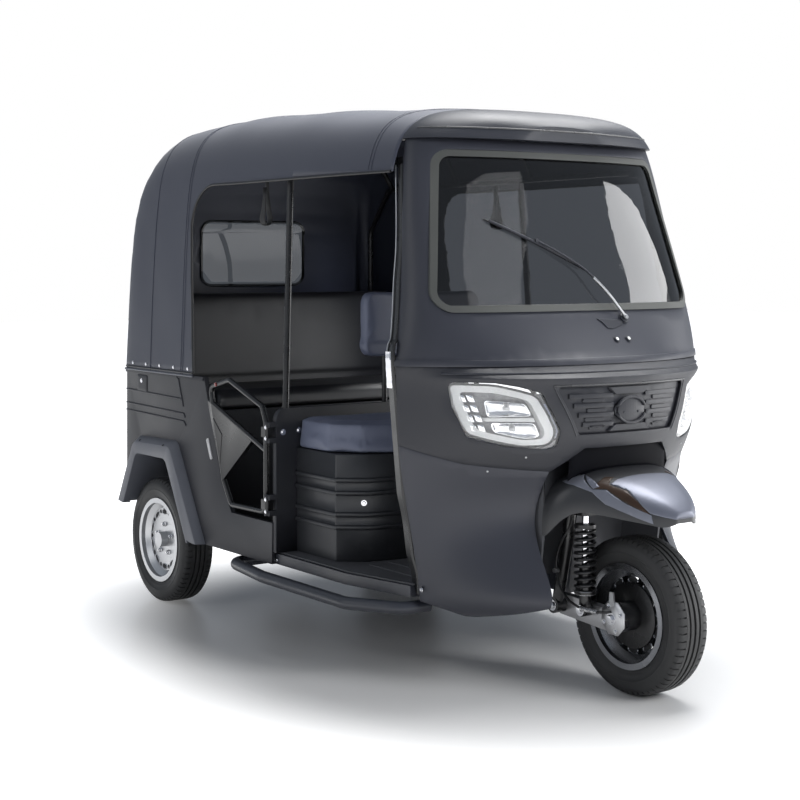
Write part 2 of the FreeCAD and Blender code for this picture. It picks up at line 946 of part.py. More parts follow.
def front_mudguard():
    """The beak over the front wheel, closed at its tip and fixed to the wheel house."""
    stations = [guard_station(shares) for shares in guard_station_shares]
    wires = [closed_band(guard_curve(s, 0), guard_curve(s, guard_wall)) for s in stations]
    shell = Part.makeLoft(wires, True, False)
    curve = guard_curve(stations[-1], hair)
    closing = Part.LineSegment(curve.EndPoint, curve.StartPoint).toShape()
    tip = Part.Face(Part.Wire([curve.toShape(), closing])).extrude(V(-guard_wall, 0, 0))
    return fuse([shell, tip, guard_flange(stations[0])])


def guard_flange(station):
    """The flange that fixes the mudguard to the front edge of the wheel house."""
    x, half, top, low = station
    edge = liner_half - guard_flange_step
    plate = block(x, x + guard_flange_wall, -edge, edge, low, liner_head_z - guard_flange_step)
    curve = guard_curve((x - overrun, half, top, low), guard_wall / 2)
    drop = V(0, 0, overrun)
    hole = Part.Wire([
        curve.toShape(),
        Part.LineSegment(curve.EndPoint, curve.EndPoint - drop).toShape(),
        Part.LineSegment(curve.EndPoint - drop, curve.StartPoint - drop).toShape(),
        Part.LineSegment(curve.StartPoint - drop, curve.StartPoint).toShape(),
    ])
    return plate.cut(Part.Face(hole).extrude(V(2 * overrun, 0, 0)))


def neck_points():
    """Side view of the neck that carries the steering head."""
    return [(neck_back_x, rail_low_z), (neck_foot_x, rail_low_z), (neck_waist_x, neck_waist_z),
            (neck_chin_x, neck_chin_z), (neck_crown_x, neck_crown_z), (neck_nape_x, neck_crown_z),
            (neck_heel_x, rail_high_z - neck_heel_drop), (neck_back_x, rail_high_z - neck_heel_drop)]


def steering_head():
    """The tube round the steering stem, on a neck from the front cross member."""
    foot_point = steer_point(head_foot_z)
    top_point = steer_point(head_top_z)
    tube = rod(foot_point, top_point, head_radius)
    neck = through_y(neck_points(), 0, -neck_half, neck_half)
    bore = rod(foot_point - steer_axis * overrun, top_point + steer_axis * overrun,
               stem_radius + bearing_gap)
    return fuse([tube, neck]).cut(bore)


def rail_points():
    """Side view of a frame rail, kicked up over the rear axle."""
    return [(rail_front_x, rail_low_z), (kick_fore_x, rail_low_z), (kick_rear_x, kick_low_z),
            (rail_tail_x, kick_low_z), (rail_tail_x, kick_high_z), (kick_rear_x + kick_shift, kick_high_z),
            (kick_fore_x + kick_shift, rail_high_z), (rail_front_x, rail_high_z)]


def frame_clearance():
    """The space that the rails and the neck take, with a gap all round them."""
    spaces = []
    for points, y0, y1 in ((rail_points(), rail_inner, rail_outer), (neck_points(), -neck_half, neck_half)):
        outline = rounded(points, 0, in_side_view).makeOffset2D(seat_gap, 2)
        face = Part.Face(outline)
        face.translate(V(0, y0 - seat_gap, 0))
        spaces.append(face.extrude(V(0, y1 - y0 + 2 * seat_gap, 0)))
    return [spaces[0], mirrored(spaces[0]), spaces[1]]


def chassis_frame():
    """Two rails with cross members, spring hangers and the tow eye."""
    pieces = both(through_y(rail_points(), 0, rail_inner, rail_outer))
    for x in (cross_front_x, cross_mid_x):
        pieces.append(block(x, x + cross_width, -rail_inner, rail_inner, rail_low_z, rail_high_z))
    for x in (cross_tail_x, cross_rear_x):
        pieces.append(block(x, x + cross_width, -rail_inner, rail_inner, kick_low_z, kick_high_z))
    hanger_low = rear_spring_top() + seat_gap
    for x in (rear_axle_x - leaf_half_length, rear_axle_x + leaf_half_length):
        hanger = block(x - cross_width / 2, x + cross_width / 2, rail_inner, rail_outer, hanger_low,
                       (kick_low_z + kick_high_z) / 2)
        pieces += both(hanger)
    plate = block(tow_x - tow_radius, cross_tail_x + cross_width, -tow_half, tow_half, tow_z, kick_low_z + wall)
    eye = plate.fuse(rod(V(tow_x, -tow_half, tow_z), V(tow_x, tow_half, tow_z), tow_radius))
    frame = fuse(pieces + [eye])
    return frame.cut(rod(V(tow_x, -overrun, tow_z), V(tow_x, overrun, tow_z), tow_bore))


def sill_edge(x, inset):
    """Half width of the sill's outside at a place along it, less an inset."""
    share = max(0, (x - taper_x) / (floor_front_x - taper_x))
    return sill_outer + (sill_front_half - sill_outer) * share - inset


def side_frames():
    """On each side a sill on its outriggers, with the step bar welded below."""
    outline = [(arch_front_x, sill_edge(arch_front_x, 0)), (taper_x, sill_edge(taper_x, 0)),
               (floor_front_x, sill_edge(floor_front_x, 0)),
               (floor_front_x, sill_edge(floor_front_x, sill_width)),
               (taper_x, sill_edge(taper_x, sill_width)), (arch_front_x, sill_edge(arch_front_x, sill_width))]
    pieces = [through_z(outline, 0, sill_low_z, rail_high_z)]
    for x in (outrigger_front_x, cross_mid_x, outrigger_door_x, outrigger_rear_x):
        reach = sill_edge(x + cross_width, sill_width)
        pieces.append(block(x, x + cross_width, rail_outer, reach, outrigger_low_z, rail_high_z))
    points = [V(step_rear_x, step_inner_half, step_z), V(step_rear_x, step_rear_out, step_z),
              V(step_mid_x, step_out, step_z), V(step_fore_x, step_out, step_z),
              V(step_front_x, step_front_out, step_z), V(step_front_x, step_inner_half, step_z)]
    pieces.append(pipe(points, step_bend, step_radius))
    return both(fuse(pieces))


def rear_spring_top():
    return tyre_radius + axle_radius + seat_gap + leaf_count * leaf_wall + leaf_rise


def leaf_springs():
    """Two packs of leaves standing on the axle tube."""
    base = tyre_radius + axle_radius + seat_gap
    leaves = []
    for i in range(leaf_count):
        reach = leaf_half_length - (leaf_count - 1 - i) * leaf_step
        rise = leaf_rise * (reach / leaf_half_length) ** 2
        low = base + i * leaf_wall
        ends = [V(rear_axle_x - reach, 0, low + rise), V(rear_axle_x, 0, low),
                V(rear_axle_x + reach, 0, low + rise)]
        tops = [p + V(0, 0, leaf_wall) for p in reversed(ends)]
        wire = Part.Wire([
            Part.Arc(*ends).toShape(),
            Part.LineSegment(ends[2], tops[0]).toShape(),
            Part.Arc(*tops).toShape(),
            Part.LineSegment(tops[2], ends[0]).toShape(),
        ])
        leaf = Part.Face(wire)
        leaf.translate(V(0, rail_half - leaf_width / 2, 0))
        leaves.append(leaf.extrude(V(0, leaf_width, 0)))
    seat = block(rear_axle_x - leaf_width / 2, rear_axle_x + leaf_width / 2,
                 rail_half - leaf_width / 2, rail_half + leaf_width / 2, base, base + leaf_wall)
    return both(fuse(leaves + [seat]))


def brake_plate(hub, turned=False):
    """A wheel's backing plate with its spindle."""
    plate = lathe([(0, plate_low), (drum_radius + plate_lap, plate_low),
                   (drum_radius + plate_lap, plate_high), (0, plate_high)], hub, turned)
    spindle = lathe([(0, plate_high), (spindle_radius, plate_high),
                     (spindle_radius, spindle_reach), (0, spindle_reach)], hub, turned)
    return fuse([plate, spindle])


def rear_axle():
    """Axle tube with its round housing, backing plates, spindles and the drive shaft."""
    reach = rear_wheel_y + (plate_low + plate_high) / 2
    tube = rod(V(rear_axle_x, -reach, tyre_radius), V(rear_axle_x, reach, tyre_radius), axle_radius)
    housing = rod(V(rear_axle_x, -diff_half, tyre_radius), V(rear_axle_x, diff_half, tyre_radius),
                  diff_radius)
    shaft = rod(V(rear_axle_x + diff_radius / 2, 0, tyre_radius),
                V(shaft_front_x, 0, shaft_front_z), shaft_radius)
    return fuse([tube, housing, shaft, brake_plate(centre_right, True), brake_plate(centre_left)])


def wheel_rim(centre, turned):
    """Pressed steel rim with its disc, vents, hub sleeve, cap and brake drum."""
    bore = spindle_radius + bearing_gap
    side = rim_half + flange_width
    bead_in = bead_radius - rim_wall
    well_in = well_radius - rim_wall
    ramp = 2 * well_half
    half = [(flange_radius, side), (bead_in, side), (bead_in, ramp + rim_wall),
            (well_in, well_half + rim_wall)]
    outer = [(well_radius, well_half), (bead_radius, ramp), (bead_radius, rim_half),
             (flange_radius, rim_half)]
    profile = half + [(r, -a) for r, a in reversed(half)]
    profile += [(r, -a) for r, a in reversed(outer)] + outer
    rim = lathe(profile, centre, turned)
    face = disc_offset + disc_wall
    lap = well_in + rim_wall / 2
    disc = lathe([(bore, disc_offset), (lap, disc_offset), (lap, face), (bore, face)], centre, turned)
    sleeve = lathe([(bore, drum_reach), (hub_radius, drum_reach), (hub_radius, disc_offset),
                    (bore, disc_offset)], centre, turned)
    cap = lathe([(0, face), (hub_radius, face), (hub_radius, hub_length), (0, hub_length)],
                centre, turned)
    drum_in = drum_radius - drum_wall
    drum = lathe([(drum_in, drum_reach), (drum_radius, drum_reach), (drum_radius, disc_offset),
                  (drum_in, disc_offset)], centre, turned)
    wheel = fuse([rim, disc, sleeve, cap, drum])
    for i in range(vent_count):
        angle = 2 * math.pi * i / vent_count
        spot = centre + V(vent_circle * math.cos(angle), -rim_half, vent_circle * math.sin(angle))
        wheel = wheel.cut(Part.makeCylinder(vent_radius, 2 * rim_half, spot, V(0, 1, 0)))
    return wheel


def tyre(centre):
    """A tyre as a plain ring, from its beads over its waist to the flat of the tread."""
    half = [(bead_radius + seat_gap, bead_half), (tyre_waist_radius, tyre_half), (tyre_radius, tread_half)]
    return lathe(half + [(r, -a) for r, a in reversed(half)], centre)


def grip_bar():
    """Handlebar swept back to its two grips."""
    x = steer_point(handle_z).x
    low, high = handle_z, handle_z + handle_rise
    right = [V(x - handle_sweep, -handle_half, high), V(x - handle_grip_x, -handle_grip_half, high),
             V(x, -handle_inner_half, low)]
    left = [V(p.x, -p.y, p.z) for p in reversed(right)]
    bar = pipe(right + left, handle_bend, handle_radius)
    along = (right[1] - right[0]).normalize()
    grip = rod(right[0], right[0] + along * grip_length, grip_radius)
    return fuse([bar] + both(grip))


def handlebar():
    """Bar, grips and the clamp on top of the steering stem."""
    middle = steer_point(handle_z)
    half = steer_axis * (clamp_height / 2)
    clamp = rod(middle - half, middle + half, clamp_radius)
    return fuse([grip_bar(), clamp])


def steering_fork():
    """Stem, crown and the single leg on the right with the pivot of the leading arm."""
    top = steer_point(handle_z) - steer_axis * (clamp_height / 2 + seat_gap)
    stem = rod(steer_point(crown_z), top, stem_radius)
    outline = [(crown_back_x, crown_outer_y), (crown_front_x, crown_outer_y), (crown_front_x, crown_step_y),
               (crown_nose_x, crown_inner_y), (crown_heel_x, crown_inner_y)]
    crown = through_z(outline, crown_corner, crown_z, crown_z + crown_height)
    start = V(crown_leg_x, fork_y, crown_z + crown_height / 2)
    eye = V(pivot_x, fork_y, pivot_z)
    leg = pipe([start, V(fork_knee_x, fork_y, fork_knee_z), eye], fork_bend, fork_radius)
    lug = rod(V(pivot_x, arm_y - arm_half - seat_gap, pivot_z),
              V(pivot_x, fork_y - fork_radius, pivot_z), pivot_radius)
    return fuse([stem, crown, leg, lug])


def leading_arm():
    """Cast arm from the pivot to the hub, with the brake's backing plate and the wheel's spindle."""
    y0, y1 = arm_y - arm_half, arm_y + arm_half
    root = rod(V(pivot_x, y0, pivot_z), V(pivot_x, y1, pivot_z), arm_root_height)
    end = rod(V(front_axle_x, y0, tyre_radius), V(front_axle_x, plate_low, tyre_radius), carrier_radius)
    side = [(pivot_x, pivot_z - arm_root_height), (front_axle_x, tyre_radius - carrier_radius),
            (front_axle_x, tyre_radius + carrier_radius / 2), (pivot_x, pivot_z + arm_root_height)]
    beam = through_y(side, 0, y0, y1)
    return fuse([root, end, beam, brake_plate(centre_front)])


def front_damper():
    """Damper with its coil spring, standing on the leading arm."""
    def at(z):
        return V(damper_x, damper_y, z)
    eye_y = arm_y - arm_half - seat_gap
    eye = rod(V(damper_x, eye_y, damper_foot_z), V(damper_x, eye_y - damper_eye_length, damper_foot_z),
              2 * cup_height)
    top = crown_z - seat_gap
    body = rod(at(damper_foot_z), at(top), damper_radius)
    cup_radius = spring_radius + coil_radius
    cups = [rod(at(z), at(z + cup_height), cup_radius)
            for z in (spring_foot_z - cup_height, spring_head_z)]
    core = V(damper_radius / 2, 0, 0)
    inner = V(spring_radius - coil_radius, 0, 0)
    outer = V(cup_radius, 0, 0)
    pitch = (spring_head_z - spring_foot_z) / spring_turns
    places = [at(spring_foot_z) + core]
    for i in range(spring_turns):
        z = spring_foot_z + pitch * i
        places += [at(z) + inner, at(z + pitch / 4) + outer, at(z + pitch * 3 / 4) + outer]
    places += [at(spring_head_z) + inner, at(spring_head_z) + core]
    edges = [Part.LineSegment(p, places[(i + 1) % len(places)]).toShape()
             for i, p in enumerate(places)]
    coils = Part.Face(Part.Wire(edges)).revolve(at(spring_foot_z), V(0, 0, 1), 360)
    head = rod(at(damper_head_z), at(top), damper_head_radius)
    return fuse([eye, body, head, coils] + cups)


def cord_bends(points):
    """Each bend's radius, from the shorter run beside it and its turn."""
    bends = [0]
    for before, corner, after in zip(points, points[1:], points[2:]):
        turn = (corner - before).getAngle(after - corner)
        run = min((corner - before).Length, (after - corner).Length)
        bends.append(cable_bend_share * run / math.tan(turn / 2))
    return bends + [0]


def brake_cable():
    """Cable from the crown down and forward to the brake on the leading arm."""
    points = [V(*p) for p in cable_points]
    bends = cord_bends(points)
    print("brake_cable bend radii", [round(b, 1) for b in bends[1:-1]])
    return pipe(points, bends, cable_radius)


def floor_pan():
    """Floor sheet, tongues beside the wheel house, and the wheel house itself."""
    low, high = floor_z - floor_wall, floor_z
    front = floor_front_x
    back = bench_front_x - bench_wall
    half = [(back, floor_half), (taper_x, floor_half), (front, floor_front_half)]
    sheet = through_z(mirrored_plan(half), 0, low, high)
    hold = engine_half + clear_gap
    sheet = sheet.cut(block(engine_back_x - clear_gap, engine_back_x + engine_length + clear_gap,
                            -hold, hold, low, high))
    inside = nose_fill([foot, shin, seam], nose_wall + seat_gap)
    strip = block(front, shin_back_x + nose_wall, -tongue_half, tongue_half, low, high)
    tongue = block(front, half_length, -floor_half, floor_half, low, high).common(inside).fuse(strip)
    tongue = tongue.cut(block(liner_foot_x, half_length, -liner_half, liner_half, low, high))
    side = [(liner_foot_x, low), (liner_front_foot_x, low), (liner_front_x, guard_low_z),
            (liner_front_x, liner_head_z), (liner_head_x, liner_head_z)]
    outer = through_y(side, 0, -liner_half, liner_half)
    space = [(liner_foot_x + liner_wall, low - overrun), (half_length, low - overrun),
             (half_length, liner_head_z - liner_wall), (liner_head_x + liner_wall, liner_head_z - liner_wall)]
    inner = through_y(space, 0, liner_wall - liner_half, liner_half - liner_wall)
    house = outer.cut(inner)
    house = house.cut(rod(steer_point(crown_z), steer_point(handle_z), head_radius + seat_gap))
    pan = fuse([sheet, tongue, house])
    for space in frame_clearance():
        pan = pan.cut(space)
    return max(pan.Solids, key=lambda solid: solid.Volume)


def engine():
    """Engine with its gearbox as one block, on lugs between the rails."""
    body = block(engine_back_x, engine_back_x + engine_length, -engine_half, engine_half,
                 engine_low_z, engine_high_z)
    lug = block(engine_lug_x, engine_lug_x + engine_lug_length, -rail_inner, rail_inner,
                rail_low_z, rail_low_z + rail_height / 2)
    return fuse([body, lug])


def fixed_hinge(z):
    """A door hinge's fixed parts on the right of the partition: two knuckles and the pin."""
    back = partition_x - partition_wall
    y0, y1 = -hinge_y - hinge_leaf / 2, -hinge_y + hinge_leaf / 2
    pieces = []
    for end in (-1, 1):
        z0 = z + end * (knuckle_height / 2 + hinge_axial_gap)
        z1 = z0 + end * knuckle_height / 2
        low, high = min(z0, z1), max(z0, z1)
        pieces.append(rod(V(hinge_x, -hinge_y, low), V(hinge_x, -hinge_y, high), knuckle_radius))
        pieces.append(block(hinge_x, partition_x, y0, y1, low, high))
        pieces.append(block(back, partition_x, y0, -partition_half, low, high))
    pieces.append(rod(V(hinge_x, -hinge_y, z - knuckle_height), V(hinge_x, -hinge_y, z + knuckle_height),
                      hinge_pin_radius))
    return pieces


def partition():
    """Panel between the driver and the passengers, with the fixed halves of the door hinges."""
    points = symmetric([(partition_half, floor_z + seat_gap), (partition_half, partition_top_z)])
    panel = through_x(points, [0, partition_corner, partition_corner, 0], partition_x - partition_wall,
                      partition_x)
    fixed = fixed_hinge(hinge_high_z) + fixed_hinge(hinge_low_z)
    return fuse([panel] + fixed + [mirrored(piece) for piece in fixed])


def cover_plan(by):
    """Plan of the engine cover, smaller by a distance on its sides and front."""
    back = partition_x + seat_gap
    half = [(back, cover_half - by), (cover_side_x - by, cover_half - by),
            (cover_corner_x - by, cover_corner_half - by), (cover_front_x - by, cover_front_half - by)]
    return mirrored_plan(half)


def engine_cover():
    """Box over the engine under the driver's seat, open below, with ribs round it."""
    low, high = floor_z + seat_gap, cover_top_z
    body = through_z(cover_plan(0), 0, low, high)
    ribs = []
    for share in cover_rib_shares:
        z = low + (high - low) * share
        ribs.append(through_z(cover_plan(-cover_rib_proud), 0, z, z + cover_rib_height))
    hollow = through_z(cover_plan(thin_wall), 0, low - overrun, high - thin_wall)
    return fuse([body] + ribs).cut(hollow)


def driver_seat():
    """The wide cushion on the engine cover."""
    back = partition_x + 2 * seat_gap
    length = saddle_front_x - back
    places = [(back + length * u, saddle_half * v) for u, v in saddle_outline_shares]
    bends = [saddle_heel_round] + [saddle_round] * (len(places) - 1)
    return through_z(mirrored_plan(places), bends + list(reversed(bends)), cover_top_z + seat_gap,
                     saddle_high_z)


def driver_backrest():
    """Padded rest above the partition, on two stays."""
    points = symmetric([(rest_half, rest_low_z), (rest_half, rest_high_z)])
    pad = through_x(points, rest_corner, rest_back_x, rest_back_x + rest_wall)
    x = partition_x - partition_wall / 2
    stay = rod(V(x, -rest_stay_half, partition_top_z + seat_gap),
               V(x, -rest_stay_half, (rest_low_z + rest_high_z) / 2), rest_stay_radius)
    return fuse([pad] + both(stay))


def bench_base():
    """Front wall, deck, inner side walls and the shelf behind the passenger bench."""
    back = tail_x + wall + seat_gap
    half = body_half - wall - seat_gap
    deck_low = bench_base_z - bench_wall
    front = block(bench_front_x - bench_wall, bench_front_x, -half, half, floor_z + seat_gap, bench_base_z)
    deck = block(back_foot_x - 2 * back_wall, bench_front_x, -half, half, deck_low, bench_base_z)
    side = block(back, bench_front_x, tub_half, tub_half + thin_wall, kick_high_z + seat_gap, bench_base_z)
    shelf = block(back, shelf_front_x, -half, half, shelf_z - bench_wall, shelf_z)
    rise = block(shelf_front_x - bench_wall, shelf_front_x, -half, half, deck_low, shelf_z)
    base = fuse([front, deck, shelf, rise] + both(side))
    base = base.common(through_z(body_plan(wall + seat_gap), body_corners(wall + seat_gap), 0, half_length))
    for space in frame_clearance()[:2]:
        base = base.cut(space)
    return max(base.Solids, key=lambda solid: solid.Volume)


def bench_cushion():
    x0 = back_foot_x + seat_gap
    points = corners(x0, bench_front_x, bench_base_z + seat_gap, cushion_high_z)
    return through_y(points, [0, cushion_corner / 2, cushion_corner, 0], -bench_half, bench_half)


def bench_back():
    """Sloping back cushion, standing on the deck."""
    low = bench_base_z + seat_gap
    points = [(back_foot_x, low), (back_head_x, back_head_z), (back_head_x - back_wall, back_head_z),
              (back_foot_x - back_wall, low)]
    return through_y(points, [0, cushion_corner, cushion_corner, 0], -bench_back_half, bench_back_half)


def arch_void(y0, y1, less):
    """The wheel opening as a slab, smaller by less on every edge."""
    points = [(arch_rear_x + less, tail_foot_z - arch_drop), (arch_rear_x + less, tail_foot_z),
              (arch_rear_top_x + less / 2, arch_top_z - less),
              (arch_front_top_x - less / 2, arch_top_z - less),
              (arch_front_x - less, arch_front_foot_z), (arch_front_x - less, arch_front_foot_z - arch_drop)]
    return through_y(points, [0, 0, arch_corner, arch_corner, 0, 0], y0, y1)


def body_plan(inset):
    """Plan of the rear body from its tail to the partition, inset at the tail and the sides."""
    front = partition_x - partition_wall
    return corners(tail_x + inset, front, inset - body_half, body_half - inset)


def body_corners(inset):
    round_off = max(tail_corner - inset, wall)
    return [round_off, 0, 0, round_off]


def body_walls():
    """The rear body's walls between the sills and the belt, open at the front."""
    outside = through_z(body_plan(0), body_corners(0), sill_low_z, belt_z)
    inside = through_z(body_plan(wall), body_corners(wall), sill_low_z, belt_z)
    return outside.cut(inside)


def belt_rail():
    """The lip along the top of the rear body, proud at its sides."""
    half = body_half + belt_proud
    outside = through_z(corners(tail_x, jamb_high_x, -half, half), body_corners(0), belt_z - belt_lip, belt_z)
    middle = wall / 2
    inside = through_z(corners(tail_x + middle, 0, middle - body_half, body_half - middle),
                       body_corners(middle), belt_z - belt_lip, belt_z)
    return outside.cut(inside)


def lamp_slot(y, half_width, half_height, bend, x0, x1):
    """A rounded upright slab for a tail lamp."""
    points = corners(y - half_width, y + half_width, tail_lamp_z - half_height, tail_lamp_z + half_height)
    return through_x(points, bend, x0, x1)


def rear_body():
    """Side panels below the doors and round the wheels, and the tail with its hatch opening."""
    front = partition_x - partition_wall
    side = [(tail_x, tail_foot_z), (arch_rear_x, tail_foot_z), (arch_front_x, sill_low_z),
            (front, sill_low_z), (front, jamb_foot_z), (jamb_heel_x, jamb_foot_z),
            (jamb_waist_x, jamb_waist_z), (jamb_high_x, belt_z), (tail_x, belt_z)]
    shell = body_walls().common(through_y(side, 0, -half_length, half_length))
    shell = shell.cut(arch_void(-half_length, half_length, 0))
    x0, x1 = tail_x - overrun, tail_x + overrun
    hatch = symmetric([(hatch_half, hatch_low_z), (hatch_half, hatch_high_z)])
    shell = shell.cut(through_x(hatch, hatch_corner, x0, x1))
    for cutter in both(lamp_slot(-tail_lamp_half, tail_lamp_width / 2 + seat_gap,
                                 tail_lamp_height / 2 + seat_gap, lamp_round + seat_gap, x0, x1)):
        shell = shell.cut(cutter)
    for cutter in both(rod(V(x0, plate_hole_half, plate_z), V(x1, plate_hole_half, plate_z),
                           plate_hole_radius)):
        shell = shell.cut(cutter)
    shell = fuse([shell, belt_rail()])
    half = hatch_knuckle_length / 2 + hinge_axial_gap
    for cutter in both(block(x0, x1, hatch_knuckle_y - half, hatch_knuckle_y + half,
                             hatch_high_z - clear_gap, hatch_pin_z + hatch_notch)):
        shell = shell.cut(cutter)
    pin = rod(V(hatch_pin_x, hatch_knuckle_y - half - wall, hatch_pin_z),
              V(hatch_pin_x, hatch_knuckle_y + half + wall, hatch_pin_z), hatch_pin_radius)
    return fuse([shell] + both(pin))


def tail_hatch():
    """The lid in the tail, with two knuckles along its upper edge."""
    edge = hatch_half - clear_gap
    top = hatch_high_z - clear_gap
    points = symmetric([(edge, hatch_low_z + clear_gap), (edge, top)])
    pieces = [through_x(points, hatch_corner - clear_gap, tail_x, tail_x + hatch_wall)]
    half = hatch_knuckle_length / 2
    low = V(hatch_pin_x, hatch_knuckle_y - half, hatch_pin_z)
    high = V(hatch_pin_x, hatch_knuckle_y + half, hatch_pin_z)
    pieces += both(rod(low, high, hatch_pin_radius + hinge_leaf / 2))
    pieces += both(block(hatch_pin_x - hinge_leaf, hatch_pin_x, hatch_knuckle_y - half,
                         hatch_knuckle_y + half, top - hinge_leaf, hatch_pin_z))
    lid = fuse(pieces)
    for bore in both(rod(low, high, hatch_pin_radius + bearing_gap)):
        lid = lid.cut(bore)
    return lid


def wheel_flares():
    """Moulded flares round the rear wheel openings, with the liner tube inside each."""
    y0 = body_half + seat_gap
    y1 = body_half + flare_proud
    places = [(flare_rear_x, tail_foot_z), (flare_rear_top_x, flare_rear_top_z),
              (flare_front_top_x, flare_front_top_z), (flare_front_x, arch_front_foot_z)]
    bends = [0, flare_corner, flare_corner, 0]
    outer = rounded(places, bends, in_side_view)
    outer.translate(V(0, y0, 0))
    inset = [(x + flare_round * u, z + flare_round * v)
             for (x, z), (u, v) in zip(places, flare_face_shares)]
    face = rounded(inset, bends, in_side_view)
    face.translate(V(0, y1, 0))
    band = Part.makeLoft([outer, face], True, True)
    band = band.cut(arch_void(0, half_length, 0))
    band = band.cut(block(-half_length, 0, 0, half_length, 0, sill_low_z))
    keep = through_y([(arch_rear_x - overrun, tail_foot_z), (arch_rear_x + overrun, tail_foot_z),
                      (arch_front_x - overrun, arch_front_foot_z), (arch_front_x + overrun, arch_front_foot_z),
                      (arch_front_x + overrun, arch_top_z + overrun),
                      (arch_rear_x - overrun, arch_top_z + overrun)], 0, 0, half_length)
    liner = arch_void(tub_half + thin_wall + seat_gap, y1, seat_gap)
    liner = liner.cut(arch_void(0, half_length, thin_wall)).common(keep)
    joint = arch_void(y0, y1, 0).cut(arch_void(y0, y1, thin_wall)).common(keep)
    return both(fuse([band, joint, liner]))


def tail_lamps():
    return both(lamp_slot(-tail_lamp_half, tail_lamp_width / 2, tail_lamp_height / 2, lamp_round,
                          tail_x, tail_x + tail_lamp_depth))


def canopy_stations():
    """Place, half width and crown height of each canopy station."""
    length = canopy_front_x - tail_x
    rise = crown_roof_z - canopy_base_z
    return [(tail_x + length * u, canopy_half * v, canopy_base_z + rise * w)
            for u, v, w in canopy_station_shares]


def cap_stations():
    """Place, half width and crown height of each station of the roof cap."""
    rise = crown_roof_z - canopy_base_z
    return [(canopy_front_x + seat_gap + visor_reach * u, canopy_half * v, canopy_base_z + rise * w)
            for u, v, w in cap_station_shares]


def roof_curve(x, half, top):
    """The roof's cross-section at a station."""
    right = [V(x, -half * u, canopy_base_z + (top - canopy_base_z) * v) for u, v in roof_section_shares]
    left = [V(p.x, -p.y, p.z) for p in reversed(right[:-1])]
    curve = Part.BSplineCurve()
    curve.interpolate(Points=right + left)
    return curve


def closed_roof(curve):
    """A roof cross-section closed along its hem."""
    return Part.Wire([curve.toShape(), Part.LineSegment(curve.EndPoint, curve.StartPoint).toShape()])


def roof_body(stations, sides, top, tail):
    """The space under a roof, inset at its sides, its top and its tail."""
    first, last = stations[0][0], stations[-1][0]
    wires = []
    for x, half, crown in stations:
        place = x + tail * (last - x) / (last - first)
        wires.append(closed_roof(roof_curve(place, half - sides, crown - top)))
    return Part.makeLoft(wires, True, False)


def window_prism(inset):
    points = symmetric([(window_half - inset, window_low_z + inset),
                        (window_half - inset, window_high_z - inset)])
    return through_x(points, window_corner - inset, tail_x - overrun, tail_x + window_reach)


def canopy_mouth():
    """Clears the front end of the roof's inside."""
    x, half, crown = canopy_stations()[-1]
    curve = roof_curve(x - 2 * canopy_wall, half - canopy_wall, crown - canopy_wall)
    return Part.Face(closed_roof(curve)).extrude(V(2 * overrun, 0, 0))


def canopy():
    """Fabric roof, sides and back, open over the doors and with a hole for the rear window."""
    stations = canopy_stations()
    shell = roof_body(stations, 0, 0, 0).cut(roof_body(stations, canopy_wall, canopy_wall, canopy_wall))
    shell = shell.cut(canopy_mouth())
    low = canopy_base_z - overrun
    opening = [(opening_rear_x, low), (opening_head_x, opening_head_z), (opening_front_x, opening_head_z),
               (opening_front_x, low)]
    shell = shell.cut(through_y(opening, [0, opening_corner, 0, 0], -half_length, half_length))
    return shell.cut(window_prism(0))


def rear_window():
    """The clear pane let into the back of the canopy."""
    near = canopy_wall / 2
    far = near + window_wall
    stations = canopy_stations()
    pane = roof_body(stations, near, near, near).cut(roof_body(stations, far, far, far))
    return pane.common(window_prism(seat_gap))


def roof_cap():
    """Hard cap over the windscreen, reaching forward as a visor."""
    stations = cap_stations()
    above = block(-half_length, half_length, -half_length, half_length, cap_low_z, overall_length)
    outer = roof_body(stations, 0, 0, 0).common(above)
    first = stations[0][0]
    inner = [(x - cap_rim if x > first else x - overrun, half, crown) for x, half, crown in stations]
    return outer.cut(roof_body(inner, cap_rim, cap_wall, 0))


def roof_height(x):
    """The crown's height at a station of the canopy."""
    stations = canopy_stations()
    for low, high in zip(stations, stations[1:]):
        if low[0] <= x <= high[0]:
            return low[2] + (high[2] - low[2]) * (x - low[0]) / (high[0] - low[0])
    return stations[-1][2]


def side_rail_half(x):
    """Half width of the canopy's side rails at a place along them."""
    return bow_half - bow_front_taper * (x - bow_rear_top_x) / (bow_front_x - bow_rear_top_x)


def canopy_bows():
    """Side rails, rear posts and cross bows that hold the canopy up."""
    front_half = bow_half - bow_front_taper
    rail = [V(bow_front_x, -front_half, bow_side_z), V(bow_rear_top_x, -bow_half, bow_side_z),
            V(bow_rear_x, -bow_half, bow_waist_z), V(bow_rear_x, -bow_half, shelf_z + seat_gap)]
    plate = block(bow_front_x - bow_radius, bow_plate_x, -bow_plate_half, bow_radius - front_half,
                  bow_side_z - nose_wall, bow_side_z + nose_wall)
    pieces = both(pipe(rail, bow_bend, bow_radius)) + both(plate)
    for i in range(bow_count):
        x = first_bow_x + (last_bow_x - first_bow_x) * i / (bow_count - 1)
        crown = roof_height(x) - bow_drop
        edge = side_rail_half(x)
        arch = [V(x, -edge, bow_side_z), V(x, -bow_shoulder_half, crown), V(x, bow_shoulder_half, crown),
                V(x, edge, bow_side_z)]
        pieces.append(pipe(arch, bow_bend, bow_radius))
    return fuse(pieces)


